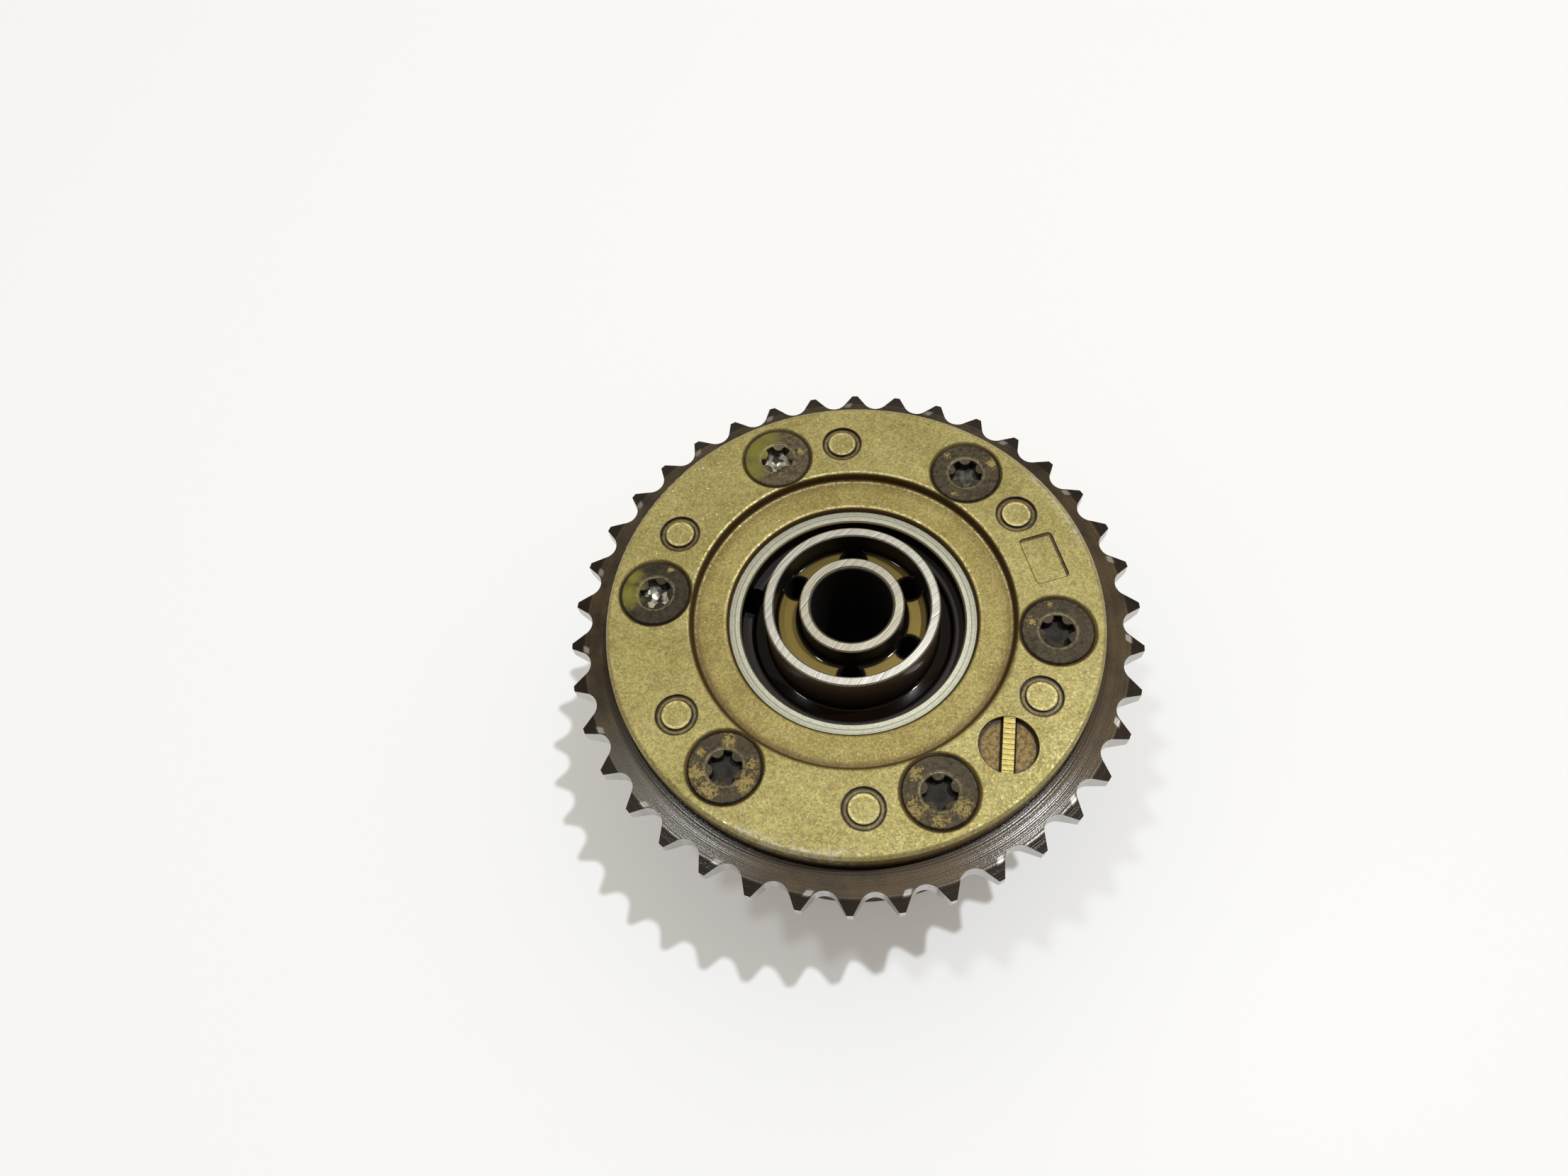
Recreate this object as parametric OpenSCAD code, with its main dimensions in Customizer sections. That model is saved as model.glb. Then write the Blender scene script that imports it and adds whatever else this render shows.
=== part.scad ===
// Cam phaser: a vane motor, driven by oil, that turns a camshaft against its chain sprocket.
// Its axis is Z with the camshaft side up, and it lies with its front cover on Z = 0.
// Lengths are in millimetres, and angles in degrees from +X.

/* [Chain sprocket] */
// Number of sprocket teeth
tooth_count = 38; // [36:1:42]
// Pitch of the chain
chain_pitch = 8.15; // [8:0.05:8.4]
// Diameter of the chain's rollers
roller_d = 5; // [4.6:0.1:5.2]
// Play of a roller in its tooth gap, on the radius
roller_play = 0.1; // [0.05:0.01:0.2]
// Height of the tooth tips over the pitch circle
tooth_rise = 0.9; // [0.6:0.05:1.2]
// Half angle between the flanks of a tooth gap
flank_angle = 34; // [30:1:36]
// Thickness of the sprocket
sprocket_t = 4; // [3.5:0.1:5]
// Thickness of a tooth at its tip
tooth_tip_t = 2.5; // [1.8:0.1:3]
// Direction of the first tooth
tooth_angle = 1.85; // [-4.5:0.05:4.5]

/* [Housing and covers] */
// Width of bare sprocket between the cover's edge and the tooth roots
sprocket_land = 3.75; // [2.4:0.05:4.8]
// Height of the sprocket's face over the seat of the camshaft cover
rim_rise = 0.75; // [0.3:0.05:1.2]
// Play round the camshaft cover in that seat, on the radius
rim_play = 0.1; // [0.05:0.05:0.3]
// Overhang of the camshaft cover past the housing's body
cover_overhang = 2.5; // [1:0.1:4]
// Wall of the vane housing
housing_wall = 3.5; // [3:0.1:4.5]
// Height of the vane housing
housing_h = 30; // [26:0.5:36]
// Thickness of the camshaft cover
cover_t = 6; // [5.5:0.1:8]
// Thickness of the front cover
front_t = 10; // [9:0.5:14]
// Step in from the housing's outside to the front cover's
front_inset = 0.6; // [0:0.1:1]
// Angle that a housing lobe takes up
lobe_angle = 17; // [15:0.5:18]
// Bevel on the housing's and the front cover's outer edges
body_bevel = 0.8; // [0.3:0.1:1.2]

/* [Camshaft cover] */
// Diameter of the bore round the camshaft end
cover_bore_d = 39; // [38.4:0.1:40]
// Width of the turned ring round the bore
turned_ring_w = 2.1; // [1.5:0.1:2.8]
// Height of the turned ring over the housing's top face
turned_ring_rise = 3.15; // [2.4:0.05:3.2]
// Radius of the rounding at the sunken band's inner edge
band_rounding = 0.8; // [0.4:0.1:1]
// Height of the sunken band over the housing's top face
band_rise = 4.2; // [3.9:0.05:4.8]
// Radius of the rounding on the cover's edges
cover_rounding = 0.8; // [0.3:0.1:1.2]
// Radius of the fillet at the foot of the step to the band
step_fillet = 0.6; // [0.3:0.1:0.9]
// Width of face between the screw recesses and the step to the band
step_land = 0.4; // [0.2:0.1:1]
// Outer diameter of an ejector pin's mark
ejector_d = 7.1; // [6:0.1:8]
// Width of the groove round an ejector pin's mark
ejector_groove_w = 0.95; // [0.5:0.05:1.3]
// Depth of the groove round an ejector pin's mark
ejector_depth = 0.4; // [0.2:0.05:0.8]
// Angle from a screw back to its ejector mark
ejector_angle = 20.5; // [18:0.5:22]
// Diameter of the round date recess
date_d = 9.8; // [8:0.1:11]
// Depth of the date recess
date_depth = 1.3; // [0.8:0.05:1.6]
// Width of the bar across the date recess
date_bar_w = 1.9; // [1.2:0.1:2.6]
// Turn of that bar from the direction of the rim
date_bar_turn = 38; // [0:1:90]
// Number of ribs on that bar
date_ribs = 11; // [7:1:13]
// Width of the slot at each side of that bar
date_slot_w = 0.35; // [0.2:0.05:0.5]
// Direction of the date recess
date_angle = 313.8; // [312:0.2:316]
// Length of the mark field, along the rim
field_l = 9.2; // [7:0.1:10]
// Width of the mark field, across the rim
field_w = 5.9; // [4.5:0.1:7]
// Depth of the mark field
field_depth = 0.25; // [0.15:0.05:0.5]
// Radius of the mark field's corners
field_corner_r = 0.6; // [0.3:0.1:1]
// Direction of the mark field
field_angle = 14.4; // [12:0.2:16]

/* [Screws] */
// Nominal diameter of a screw's thread
screw_d = 6; // [5:0.5:6.5]
// Distance of the screws from the housing's outside
screw_edge = 5.65; // [5:0.05:6]
// Direction of the first screw
screw_angle = 51.2; // [48:0.2:54]
// Diameter of a screw head
head_d = 12.4; // [11:0.1:13]
// Height of a screw head
head_h = 3.2; // [2.8:0.1:3.6]
// Play round a screw head, on the radius
head_play = 0.25; // [0.1:0.05:0.4]
// Depth of the screw heads' tops under the cover's face
head_sink = 0.15; // [0:0.05:0.3]
// Play round a screw's shank, on the radius
shank_play = 0.3; // [0.1:0.05:0.5]
// Number of lobes of a screw's socket
socket_lobes = 5; // [5:1:6]
// Size of the socket across its lobes
socket_d = 5.8; // [5:0.1:6]
// Depth of the socket
socket_depth = 2.2; // [1.6:0.1:2.4]
// Diameter of the dished lead-in round the socket
dish_d = 6.8; // [6.4:0.1:8]
// Depth of that lead-in
dish_depth = 0.4; // [0.2:0.05:0.6]
// Length of thread held by the front cover
thread_hold = 6.5; // [5:0.5:7]

/* [Rotor] */
// Diameter of the rotor's body
rotor_d = 50; // [47:0.5:52]
// Angle of an ordinary vane
vane_angle = 10; // [8:0.5:12]
// Angle of the wide vane that holds the lock pin
wide_vane_angle = 19; // [17:0.5:20]
// Direction of the wide vane as it lies
wide_vane_at = 197; // [195:0.5:203]
// Running play of the rotor in the housing's lobes, on the radius
running_play = 0.05; // [0.03:0.01:0.1]
// Play of the rotor between the covers, at each end
end_play = 0.05; // [0.03:0.01:0.1]
// Play between a vane and the chamber wall
vane_play = 0.15; // [0.08:0.01:0.3]
// Outer diameter of the rotor's nose, under the bias spring
nose_d = 24; // [22:0.5:25]
// Distance of the nose's end from the surface it lies on
nose_lift = 0.6; // [0.3:0.1:1.2]

/* [Hub] */
// Diameter of the camshaft bolt's bore
bolt_bore_d = 13.9; // [12.4:0.1:14.4]
// Outer diameter of the hub's inner ring
inner_ring_d = 18; // [17:0.1:19]
// Inner diameter of the hub's outer ring
outer_ring_bore_d = 26.8; // [26:0.1:27.6]
// Outer diameter of the hub's outer ring
outer_ring_d = 30.2; // [29.5:0.1:31]
// Height of the hub's ground rings over the housing's top face
hub_rise = 8.7; // [7.5:0.1:10]
// Height of the oil groove's floor over the housing's top face
groove_floor_rise = 3.5; // [2.5:0.1:4.5]
// Bevel on the edges of the ground rings
ring_bevel = 0.25; // [0.1:0.05:0.4]
// Diameter of the oil holes in the groove
oil_hole_d = 4.1; // [3.2:0.1:4.2]
// Angle from a vane's middle to its oil hole
oil_hole_angle = 9.5; // [8:0.5:11]
// Diameter of the radial oil ports
port_d = 3; // [2.2:0.1:3.2]
// Depth of the upper ports under the housing's top face
upper_port_depth = 7; // [6:0.5:9]
// Width of the ring groove round the hub
moat_w = 2.55; // [2:0.05:2.8]
// Depth of the ring groove round the hub
moat_depth = 2.5; // [1.5:0.1:3.5]
// Radius of the rounding on that groove's outer edge
moat_rounding = 0.6; // [0.2:0.1:1]
// Diameter of the drain hole beside the hub
drain_d = 6; // [5:0.1:6.4]
// Distance of the drain hole from the axis
drain_r = 18.5; // [18.2:0.1:19]
// Direction of the drain hole
drain_angle = 163; // [161:0.5:166]
// Depth of the drain hole
drain_depth = 8; // [5:0.5:10]

/* [Vane seals] */
// Width of a seal strip
seal_w = 2; // [1.5:0.1:2.6]
// Depth of a seal strip
seal_depth = 2.3; // [1.8:0.1:2.6]
// Play of a seal strip in its groove, at each side
seal_play = 0.05; // [0.03:0.01:0.1]
// Thickness of a seal's leaf spring
leaf_t = 0.25; // [0.15:0.05:0.3]
// Bow of a leaf spring
leaf_bow = 0.5; // [0.3:0.05:0.6]

/* [Lock pin] */
// Diameter of the lock pin
pin_d = 6.5; // [5.5:0.1:6.8]
// Diameter of the collar at the pin's foot
collar_d = 8; // [7.4:0.1:8.2]
// Height of the collar
collar_h = 4; // [3:0.5:5]
// Length of the lock pin
pin_l = 16; // [14:0.5:17]
// Wall between the lock pin's bore and the vane's seal
pin_wall = 1.25; // [0.8:0.05:1.6]
// Travel of the lock pin
pin_travel = 3.5; // [3:0.1:4]
// Running play of the lock pin, on the radius
pin_play = 0.03; // [0.02:0.01:0.06]
// Diameter of the spring's bore in the pin
pin_bore_d = 4.4; // [4:0.1:4.6]
// Depth of the spring's bore in the pin
pin_bore_depth = 10; // [8:0.5:12]
// Wire of the lock pin's spring
pin_wire_d = 0.6; // [0.4:0.05:0.7]
// Turns of the lock pin's spring
pin_spring_turns = 11; // [8:1:13]
// Thickness of the cap behind the lock pin's spring
cap_t = 2; // [1.5:0.1:3]
// Wall of the hardened ring that the pin drops into
seat_wall = 1.1; // [0.8:0.1:1.3]
// Depth of that ring in the camshaft cover
seat_depth = 3.2; // [2.5:0.1:3.4]
// Turn of the rotor from where it lies to its locked position
lock_turn = -7.2; // [-7.5:0.1:-6]

/* [Bias spring] */
// Thickness of the spring's strip
strip_t = 1.4; // [1:0.1:1.6]
// Width of the spring's strip
strip_w = 5; // [3:0.5:5.5]
// Distance from one turn of the spring to the next
strip_pitch = 2.9; // [2.6:0.1:3]
// Number of turns of the spring
strip_turns = 2.75; // [2.25:0.25:2.75]
// Gap between the nose and the spring's first turn
strip_gap = 0.5; // [0.3:0.1:0.8]
// Direction in which the spring starts
strip_angle = 40; // [0:5:90]
// Diameter of the post that the spring hooks on
post_d = 4; // [3:0.1:4.2]
// Play between the post and the spring's hook
hook_play = 0.05; // [0.02:0.01:0.1]
// Wall of the front cover round the spring
recess_gap = 1; // [0.6:0.1:1.4]
// Thickness of the spring cover's sheet
sheet_t = 1; // [0.8:0.1:1.2]
// Distance of that sheet from the surface the phaser lies on
sheet_lift = 0.4; // [0.2:0.1:0.8]
// Width of the ledge that the sheet lies on
ledge_w = 1.5; // [1:0.1:2]
// Gap between the nose and the spring cover
sheet_gap = 1.5; // [1:0.1:2]

/* [Hidden] */
$fn = 96;

// Overlap of solids that are joined, and of cutters past a face
over = 0.5;
// Clearance of pieces that are pressed or laid in place, on the radius
seat_fit = 0.02;
// Screws, lobes, vanes and chambers
chamber_count = 6;
chamber_pitch = 360 / chamber_count;

tooth_pitch = 360 / tooth_count;
pitch_r = chain_pitch / (2 * sin(tooth_pitch / 2));
gap_r = roller_d / 2 + roller_play;
tip_r = pitch_r + tooth_rise;
// Where the flanks of a tooth gap start, just inside its round; the teeth's side bevels start beside it
flank_lap = 0.01;
flank_x = pitch_r - (gap_r - flank_lap) * sin(flank_angle);
flank_y = (gap_r - flank_lap) * cos(flank_angle);
bevel_r = sqrt(flank_x * flank_x + flank_y * flank_y) - 0.1;
cover_r = pitch_r - gap_r - sprocket_land;
body_r = cover_r - cover_overhang;
chamber_r = body_r - housing_wall;
screw_r = body_r - screw_edge;
rotor_r = rotor_d / 2;
lobe_r = rotor_r + running_play;
vane_r = chamber_r - vane_play;

// Heights of the main faces
face_z = front_t + housing_h;
rim_z = face_z + rim_rise;
cover_z = face_z + cover_t;
hub_z = face_z + hub_rise;
rotor_bottom_z = front_t + end_play;
rotor_top_z = face_z - end_play;
rotor_h = rotor_top_z - rotor_bottom_z;

// Screws, flush with the camshaft cover
recess_d = head_d + 2 * head_play;
shank_hole_d = screw_d + 2 * shank_play;
thread_hole_d = screw_d + 2 * seat_fit;
head_top_z = cover_z - head_sink;
screw_tip_z = front_t - thread_hold;
thread_run_out = 1;
edge_bevel = 0.3;
scallop_at_r = 0.53 * socket_d;
scallop_r = 0.19 * socket_d;
// Direction of one socket lobe of each screw, as they were left when tightened
socket_turns = [52, 49, 34, 6, 55, 11];

// Camshaft cover
cover_bore_r = cover_bore_d / 2;
turned_ring_r = cover_bore_r + turned_ring_w;
step_r = screw_r - recess_d / 2 - step_land;
// Depths under the cover's face in the date recess
date_bar_sink = 0.15;
date_slot_sink = 0.4;
date_slot_depth = date_depth + date_slot_sink;
date_rib_depth = 0.12;

// Hub
groove_r = (outer_ring_bore_d + inner_ring_d) / 4;
moat_r = outer_ring_d / 2 + moat_w;
upper_port_z = face_z - upper_port_depth;
lower_port_z = rotor_bottom_z + upper_port_depth;

// Vane seals
seal_groove_w = seal_w + 2 * seal_play;
seal_tip_r = chamber_r - seal_play;
seal_groove_r = seal_tip_r - seal_depth - leaf_bow - leaf_t;
seal_l = rotor_h - 2 * seal_play;
leaf_end_gap = 1;
leaf_l = seal_l - 2 * leaf_end_gap;
leaf_rise = leaf_bow - 3 * seat_fit;
// Radius of an arc with the leaf spring's length as chord and its rise as height
leaf_arc_r = (leaf_l * leaf_l / 4 + leaf_rise * leaf_rise) / (2 * leaf_rise);

// Lock pin
pin_r = seal_groove_r - collar_d / 2 - pin_play - pin_wall;
pin_top_z = rotor_top_z;
pin_foot_z = pin_top_z - pin_l;
pin_lead = 0.4;
collar_room_z = pin_foot_z + collar_h + pin_travel + over;
cap_top_z = rotor_bottom_z + cap_t;
cap_vent_d = 1.5;
pin_spring_top_z = pin_foot_z + pin_bore_depth;
pin_coil_play = 0.2;
pin_coil_r = pin_bore_d / 2 - pin_wire_d / 2 - pin_coil_play;
seat_play = 0.2;
seat_bore_d = pin_d + 2 * seat_play;
seat_d = seat_bore_d + 2 * seat_wall;

// Bias spring, its post and its cover
nose_r = nose_d / 2;
sheet_top_z = sheet_lift + sheet_t;
strip_play = 0.2;
strip_z = sheet_top_z + strip_play;
recess_z = strip_z + strip_w + strip_play;
strip_in_r = nose_r + strip_gap + strip_t / 2;
strip_out_r = strip_in_r + strip_pitch * strip_turns;
strip_end_angle = strip_angle + 360 * strip_turns;
hook_in_r = post_d / 2 + hook_play;
post_r = strip_out_r + strip_t / 2 + hook_in_r;
recess_r = post_r + hook_in_r + strip_t + recess_gap;
ledge_r = recess_r + ledge_w;
tang_depth = 2;
post_hold = 2;

// Angle of vane k, the first of which is the wide one
function vane_at(k) = wide_vane_at + k * chamber_pitch;
// Half the angle that vane k takes up
function vane_half(k) = (k == 0 ? wide_vane_angle : vane_angle) / 2;
// Point of the bias spring at an angle from its start, with a shift across the strip
function spiral_point(a, shift) =
    let (r = strip_in_r + strip_pitch * a / 360 + shift)
    [r * cos(strip_angle + a), r * sin(strip_angle + a)];

// Sets its children in a ring at a radius
module ring_of(count, radius, first_angle) {
    for (k = [0:count - 1])
        rotate(first_angle + k * 360 / count)
            translate([radius, 0, 0])
                children();
}

// Flat sector of a disc, symmetrical about +X
module sector(radius, half_angle) {
    reach = 2 * radius;
    intersection() {
        circle(r = radius);
        polygon([
            [0, 0],
            [reach * cos(half_angle), -reach * sin(half_angle)],
            [reach * cos(half_angle), reach * sin(half_angle)]
        ]);
    }
}

// What a rounding takes off an outer corner at its upper right, drawn about the rounding's centre
module corner_waste(radius) {
    difference() {
        square(radius + over);
        circle(r = radius);
    }
}

// Turned blank with bevelled edges, from z = 0
module bevelled_disc(radius, height, bevel_low, bevel_high) {
    rotate_extrude()
        polygon([
            [0, 0],
            [radius - bevel_low, 0],
            [radius, bevel_low],
            [radius, height - bevel_high],
            [radius - bevel_high, height],
            [0, height]
        ]);
}

// Outline of the sprocket: round gaps on the pitch circle that open along straight flanks
module sprocket_outline() {
    out_x = tip_r + over;
    out_y = flank_y + (out_x - flank_x) * tan(flank_angle);
    difference() {
        circle(r = tip_r);
        for (k = [0:tooth_count - 1])
            rotate(tooth_angle + (k + 0.5) * tooth_pitch) {
                translate([pitch_r, 0])
                    circle(r = gap_r);
                polygon([[flank_x, -flank_y], [out_x, -out_y], [out_x, out_y], [flank_x, flank_y]]);
            }
    }
}

// Toothed flange, with its teeth bevelled to thin tips on both sides
module toothed_flange() {
    tip_inset = (sprocket_t - tooth_tip_t) / 2;
    over_inset = tip_inset * (1 + over / (tip_r - bevel_r));
    intersection() {
        linear_extrude(sprocket_t)
            sprocket_outline();
        rotate_extrude()
            polygon([
                [0, 0],
                [bevel_r, 0],
                [tip_r + over, over_inset],
                [tip_r + over, sprocket_t - over_inset],
                [bevel_r, sprocket_t],
                [0, sprocket_t]
            ]);
    }
}

// Chamber outline of the housing, with a lobe round each screw
module chamber_outline() {
    difference() {
        circle(r = chamber_r);
        for (k = [0:chamber_count - 1])
            rotate(screw_angle + k * chamber_pitch)
                difference() {
                    sector(chamber_r + over, lobe_angle / 2);
                    circle(r = lobe_r);
                }
    }
}

module sprocket_housing() {
    color("#55524d")
    difference() {
        union() {
            translate([0, 0, front_t])
                bevelled_disc(body_r, housing_h, body_bevel, 0);
            translate([0, 0, rim_z - sprocket_t])
                toothed_flange();
        }
        translate([0, 0, face_z])
            cylinder(r = cover_r + rim_play, h = rim_rise + over);
        translate([0, 0, front_t - over])
            linear_extrude(housing_h + 2 * over)
                chamber_outline();
        ring_of(chamber_count, screw_r, screw_angle)
            translate([0, 0, front_t - over])
                cylinder(d = shank_hole_d, h = housing_h + 2 * over);
    }
}

// Section of the camshaft cover, from its seat up
module cover_section() {
    lead = 0.3;
    difference() {
        union() {
            polygon([
                [cover_bore_r, 0],
                [cover_r, 0],
                [cover_r, band_rise],
                [turned_ring_r, band_rise],
                [turned_ring_r, turned_ring_rise],
                [cover_bore_r + lead, turned_ring_rise],
                [cover_bore_r, turned_ring_rise - lead]
            ]);
            translate([step_r, 0])
                square([cover_r - step_r, cover_t]);
            translate([step_r - step_fillet, band_rise - step_fillet])
                difference() {
                    square([2 * step_fillet, 2 * step_fillet]);
                    translate([0, 2 * step_fillet])
                        circle(r = step_fillet);
                }
        }
        translate([cover_r - cover_rounding, cover_t - cover_rounding])
            corner_waste(cover_rounding);
        translate([step_r + cover_rounding, cover_t - cover_rounding])
            mirror([1, 0])
                corner_waste(cover_rounding);
        translate([turned_ring_r + band_rounding, band_rise - band_rounding])
            mirror([1, 0])
                corner_waste(band_rounding);
    }
}

// Flush recess for a screw head, its hole and its bevelled edge, under z = 0
module head_recess() {
    translate([0, 0, -head_h - head_sink])
        cylinder(d = recess_d, h = head_h + head_sink + over);
    translate([0, 0, -cover_t - over])
        cylinder(d = shank_hole_d, h = cover_t + 2 * over);
    translate([0, 0, -edge_bevel])
        cylinder(d1 = recess_d, d2 = recess_d + 4 * edge_bevel, h = 2 * edge_bevel);
}

// Ring that an ejector pin leaves in the casting
module ejector_mark() {
    translate([0, 0, -ejector_depth])
        difference() {
            cylinder(d = ejector_d, h = ejector_depth + over);
            cylinder(d = ejector_d - 2 * ejector_groove_w, h = ejector_depth + over);
        }
}

// Round recess where the casting's date is set, with a ribbed bar between two slots across it
module date_recess() {
    rib_step = date_d / date_ribs;
    slots_w = date_bar_w + 2 * date_slot_w;
    rotate(date_bar_turn)
        difference() {
            intersection() {
                translate([0, 0, -date_slot_depth])
                    cylinder(d = date_d, h = date_slot_depth + over);
                union() {
                    translate([-date_d, -date_d, -date_depth])
                        cube([2 * date_d, 2 * date_d, date_depth + over]);
                    translate([-slots_w / 2, -date_d, -date_slot_depth])
                        cube([slots_w, 2 * date_d, date_slot_depth + over]);
                }
            }
            difference() {
                translate([-date_bar_w / 2, -date_d, -2 * date_slot_depth])
                    cube([date_bar_w, 2 * date_d, 2 * date_slot_depth - date_bar_sink]);
                for (k = [0:date_ribs - 1])
                    translate([-date_d, (k + 0.3) * rib_step - date_d / 2, -date_bar_sink - date_rib_depth])
                        cube([2 * date_d, 0.4 * rib_step, date_depth]);
            }
        }
}

// Flat rectangle with round corners, about its middle
module rounded_rectangle(width, length, corner_r) {
    union() {
        square([width - 2 * corner_r, length], center = true);
        square([width, length - 2 * corner_r], center = true);
        for (x = [-1, 1], y = [-1, 1])
            translate([x * (width / 2 - corner_r), y * (length / 2 - corner_r)])
                circle(r = corner_r);
    }
}

// Shallow field for the casting's marks
module mark_field() {
    translate([0, 0, -field_depth])
        linear_extrude(field_depth + over)
            rounded_rectangle(field_w, field_l, field_corner_r);
}

module camshaft_cover() {
    color("#9a8a4c")
    difference() {
        translate([0, 0, face_z])
            rotate_extrude()
                cover_section();
        translate([0, 0, cover_z]) {
            ring_of(chamber_count, screw_r, screw_angle)
                head_recess();
            ring_of(chamber_count, screw_r, screw_angle - ejector_angle)
                ejector_mark();
            ring_of(1, screw_r, date_angle)
                date_recess();
            ring_of(1, screw_r, field_angle)
                mark_field();
        }
        ring_of(1, pin_r, wide_vane_at + lock_turn)
            translate([0, 0, face_z - over])
                cylinder(d = seat_d + 2 * seat_fit, h = seat_depth + over);
    }
}

// Lobed outline of a screw's socket
module socket_outline() {
    difference() {
        circle(d = socket_d);
        for (k = [0:socket_lobes - 1])
            rotate((k + 0.5) * 360 / socket_lobes)
                translate([scallop_at_r, 0])
                    circle(r = scallop_r);
    }
}

// One screw, with its head's top at z = 0 and one lobe of its socket towards +X
module cover_screw() {
    point = 0.8;
    dish_edge = 0.1;
    dish_floor_r = 0.9 * (scallop_at_r - scallop_r);
    dimple_d = 2.4;
    dimple_tip_d = 0.2;
    dimple_depth = 0.4;
    shank_l = head_top_z - screw_tip_z;
    difference() {
        union() {
            translate([0, 0, -head_h])
                bevelled_disc(head_d / 2, head_h, 0, edge_bevel);
            translate([0, 0, -shank_l])
                bevelled_disc(screw_d / 2, shank_l - head_h + over, point, 0);
        }
        rotate_extrude()
            polygon([
                [0, over],
                [0, -dish_depth],
                [dish_floor_r, -dish_depth],
                [dish_d / 2, -dish_edge],
                [dish_d / 2, over]
            ]);
        translate([0, 0, -socket_depth])
            linear_extrude(socket_depth + over)
                socket_outline();
        translate([0, 0, -socket_depth - dimple_depth])
            cylinder(d1 = dimple_tip_d, d2 = dimple_d, h = dimple_depth);
    }
}

module cover_screws() {
    color("#4c4a40")
    for (k = [0:chamber_count - 1])
        rotate(screw_angle + k * chamber_pitch)
            translate([screw_r, 0, head_top_z])
                rotate(socket_turns[k] - screw_angle - k * chamber_pitch)
                    cover_screw();
}

module front_cover() {
    color("#8f8f8b")
    difference() {
        bevelled_disc(body_r - front_inset, front_t, body_bevel, 0);
        translate([0, 0, -over])
            cylinder(r = nose_r + running_play, h = front_t + 2 * over);
        translate([0, 0, -over])
            cylinder(r = recess_r, h = recess_z + over);
        translate([0, 0, -over])
            cylinder(r = ledge_r, h = sheet_top_z + over);
        translate([0, 0, screw_tip_z - thread_run_out])
            ring_of(chamber_count, screw_r, screw_angle)
                cylinder(d = thread_hole_d, h = thread_hold + thread_run_out + over);
        ring_of(1, post_r, strip_end_angle)
            translate([0, 0, recess_z - over])
                cylinder(r = post_d / 2 + seat_fit, h = post_hold + over);
        mirror([0, 0, 1])
            ring_of(chamber_count, screw_r, ejector_angle - screw_angle)
                ejector_mark();
    }
}

// Section of the hub above the rotor's body: two ground rings with the oil groove between them
module hub_ring(inner_r, outer_r) {
    low_z = rotor_top_z - moat_depth - over;
    rotate_extrude()
        polygon([
            [inner_r, low_z],
            [outer_r, low_z],
            [outer_r, hub_z - ring_bevel],
            [outer_r - ring_bevel, hub_z],
            [inner_r + ring_bevel, hub_z],
            [inner_r, hub_z - ring_bevel]
        ]);
}

// Rotor blank: body with vanes, nose and hub
module rotor_blank() {
    translate([0, 0, rotor_bottom_z])
        linear_extrude(rotor_h)
            union() {
                circle(r = rotor_r);
                for (k = [0:chamber_count - 1])
                    rotate(vane_at(k))
                        sector(vane_r, vane_half(k));
            }
    translate([0, 0, nose_lift])
        bevelled_disc(nose_r, front_t, ring_bevel, 0);
}

// Radial oil port, from a radius out through the rotor's body
module oil_port(angle, from_r, height) {
    rotate(angle)
        translate([from_r, 0, height])
            rotate([0, 90, 0])
                cylinder(d = port_d, h = rotor_r - from_r + over);
}

// Bore of the lock pin, wider under its collar
module pin_bore() {
    translate([0, 0, rotor_bottom_z - over])
        cylinder(d = pin_d + 2 * pin_play, h = rotor_h + 2 * over);
    translate([0, 0, rotor_bottom_z - over])
        cylinder(d = collar_d + 2 * pin_play, h = collar_room_z - rotor_bottom_z + over);
}

module rotor() {
    low_z = rotor_top_z - moat_depth;
    floor_z = face_z + groove_floor_rise;
    color("#8d867a")
    difference() {
        union() {
            difference() {
                rotor_blank();
                translate([0, 0, low_z])
                    cylinder(r = moat_r, h = moat_depth + over);
                rotate_extrude()
                    translate([moat_r + moat_rounding, rotor_top_z - moat_rounding])
                        mirror([1, 0])
                            corner_waste(moat_rounding);
            }
            hub_ring(outer_ring_bore_d / 2, outer_ring_d / 2);
            hub_ring(0, inner_ring_d / 2);
            translate([0, 0, low_z - over])
                cylinder(d = outer_ring_bore_d + over, h = floor_z - low_z + over);
        }
        translate([0, 0, nose_lift - over])
            cylinder(d = bolt_bore_d, h = hub_z - nose_lift + 2 * over);
        translate([0, 0, hub_z - 2 * ring_bevel])
            cylinder(d1 = bolt_bore_d, d2 = bolt_bore_d + 8 * ring_bevel, h = 4 * ring_bevel);
        for (k = [1:chamber_count - 1]) {
            rotate(vane_at(k) + oil_hole_angle)
                translate([groove_r, 0, upper_port_z - port_d / 2])
                    cylinder(d = oil_hole_d, h = floor_z - upper_port_z + port_d);
            oil_port(vane_at(k) + oil_hole_angle, groove_r, upper_port_z);
        }
        for (k = [0:chamber_count - 1])
            oil_port(vane_at(k) - vane_half(k) - port_d * 1.5, 0, lower_port_z);
        rotate(drain_angle)
            translate([drain_r, 0, rotor_top_z - drain_depth])
                cylinder(d = drain_d, h = drain_depth + over);
        for (k = [0:chamber_count - 1])
            rotate(vane_at(k))
                translate([seal_groove_r, -seal_groove_w / 2, rotor_bottom_z - over])
                    cube([vane_r - seal_groove_r + over, seal_groove_w, rotor_h + 2 * over]);
        rotate(vane_at(0))
            translate([pin_r, 0, 0])
                pin_bore();
        rotate(strip_angle)
            translate([nose_r - tang_depth - strip_play, -strip_t / 2 - strip_play, nose_lift - over])
                cube([2 * tang_depth, strip_t + 2 * strip_play, strip_z + strip_w + strip_play - nose_lift + over]);
    }
}

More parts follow.
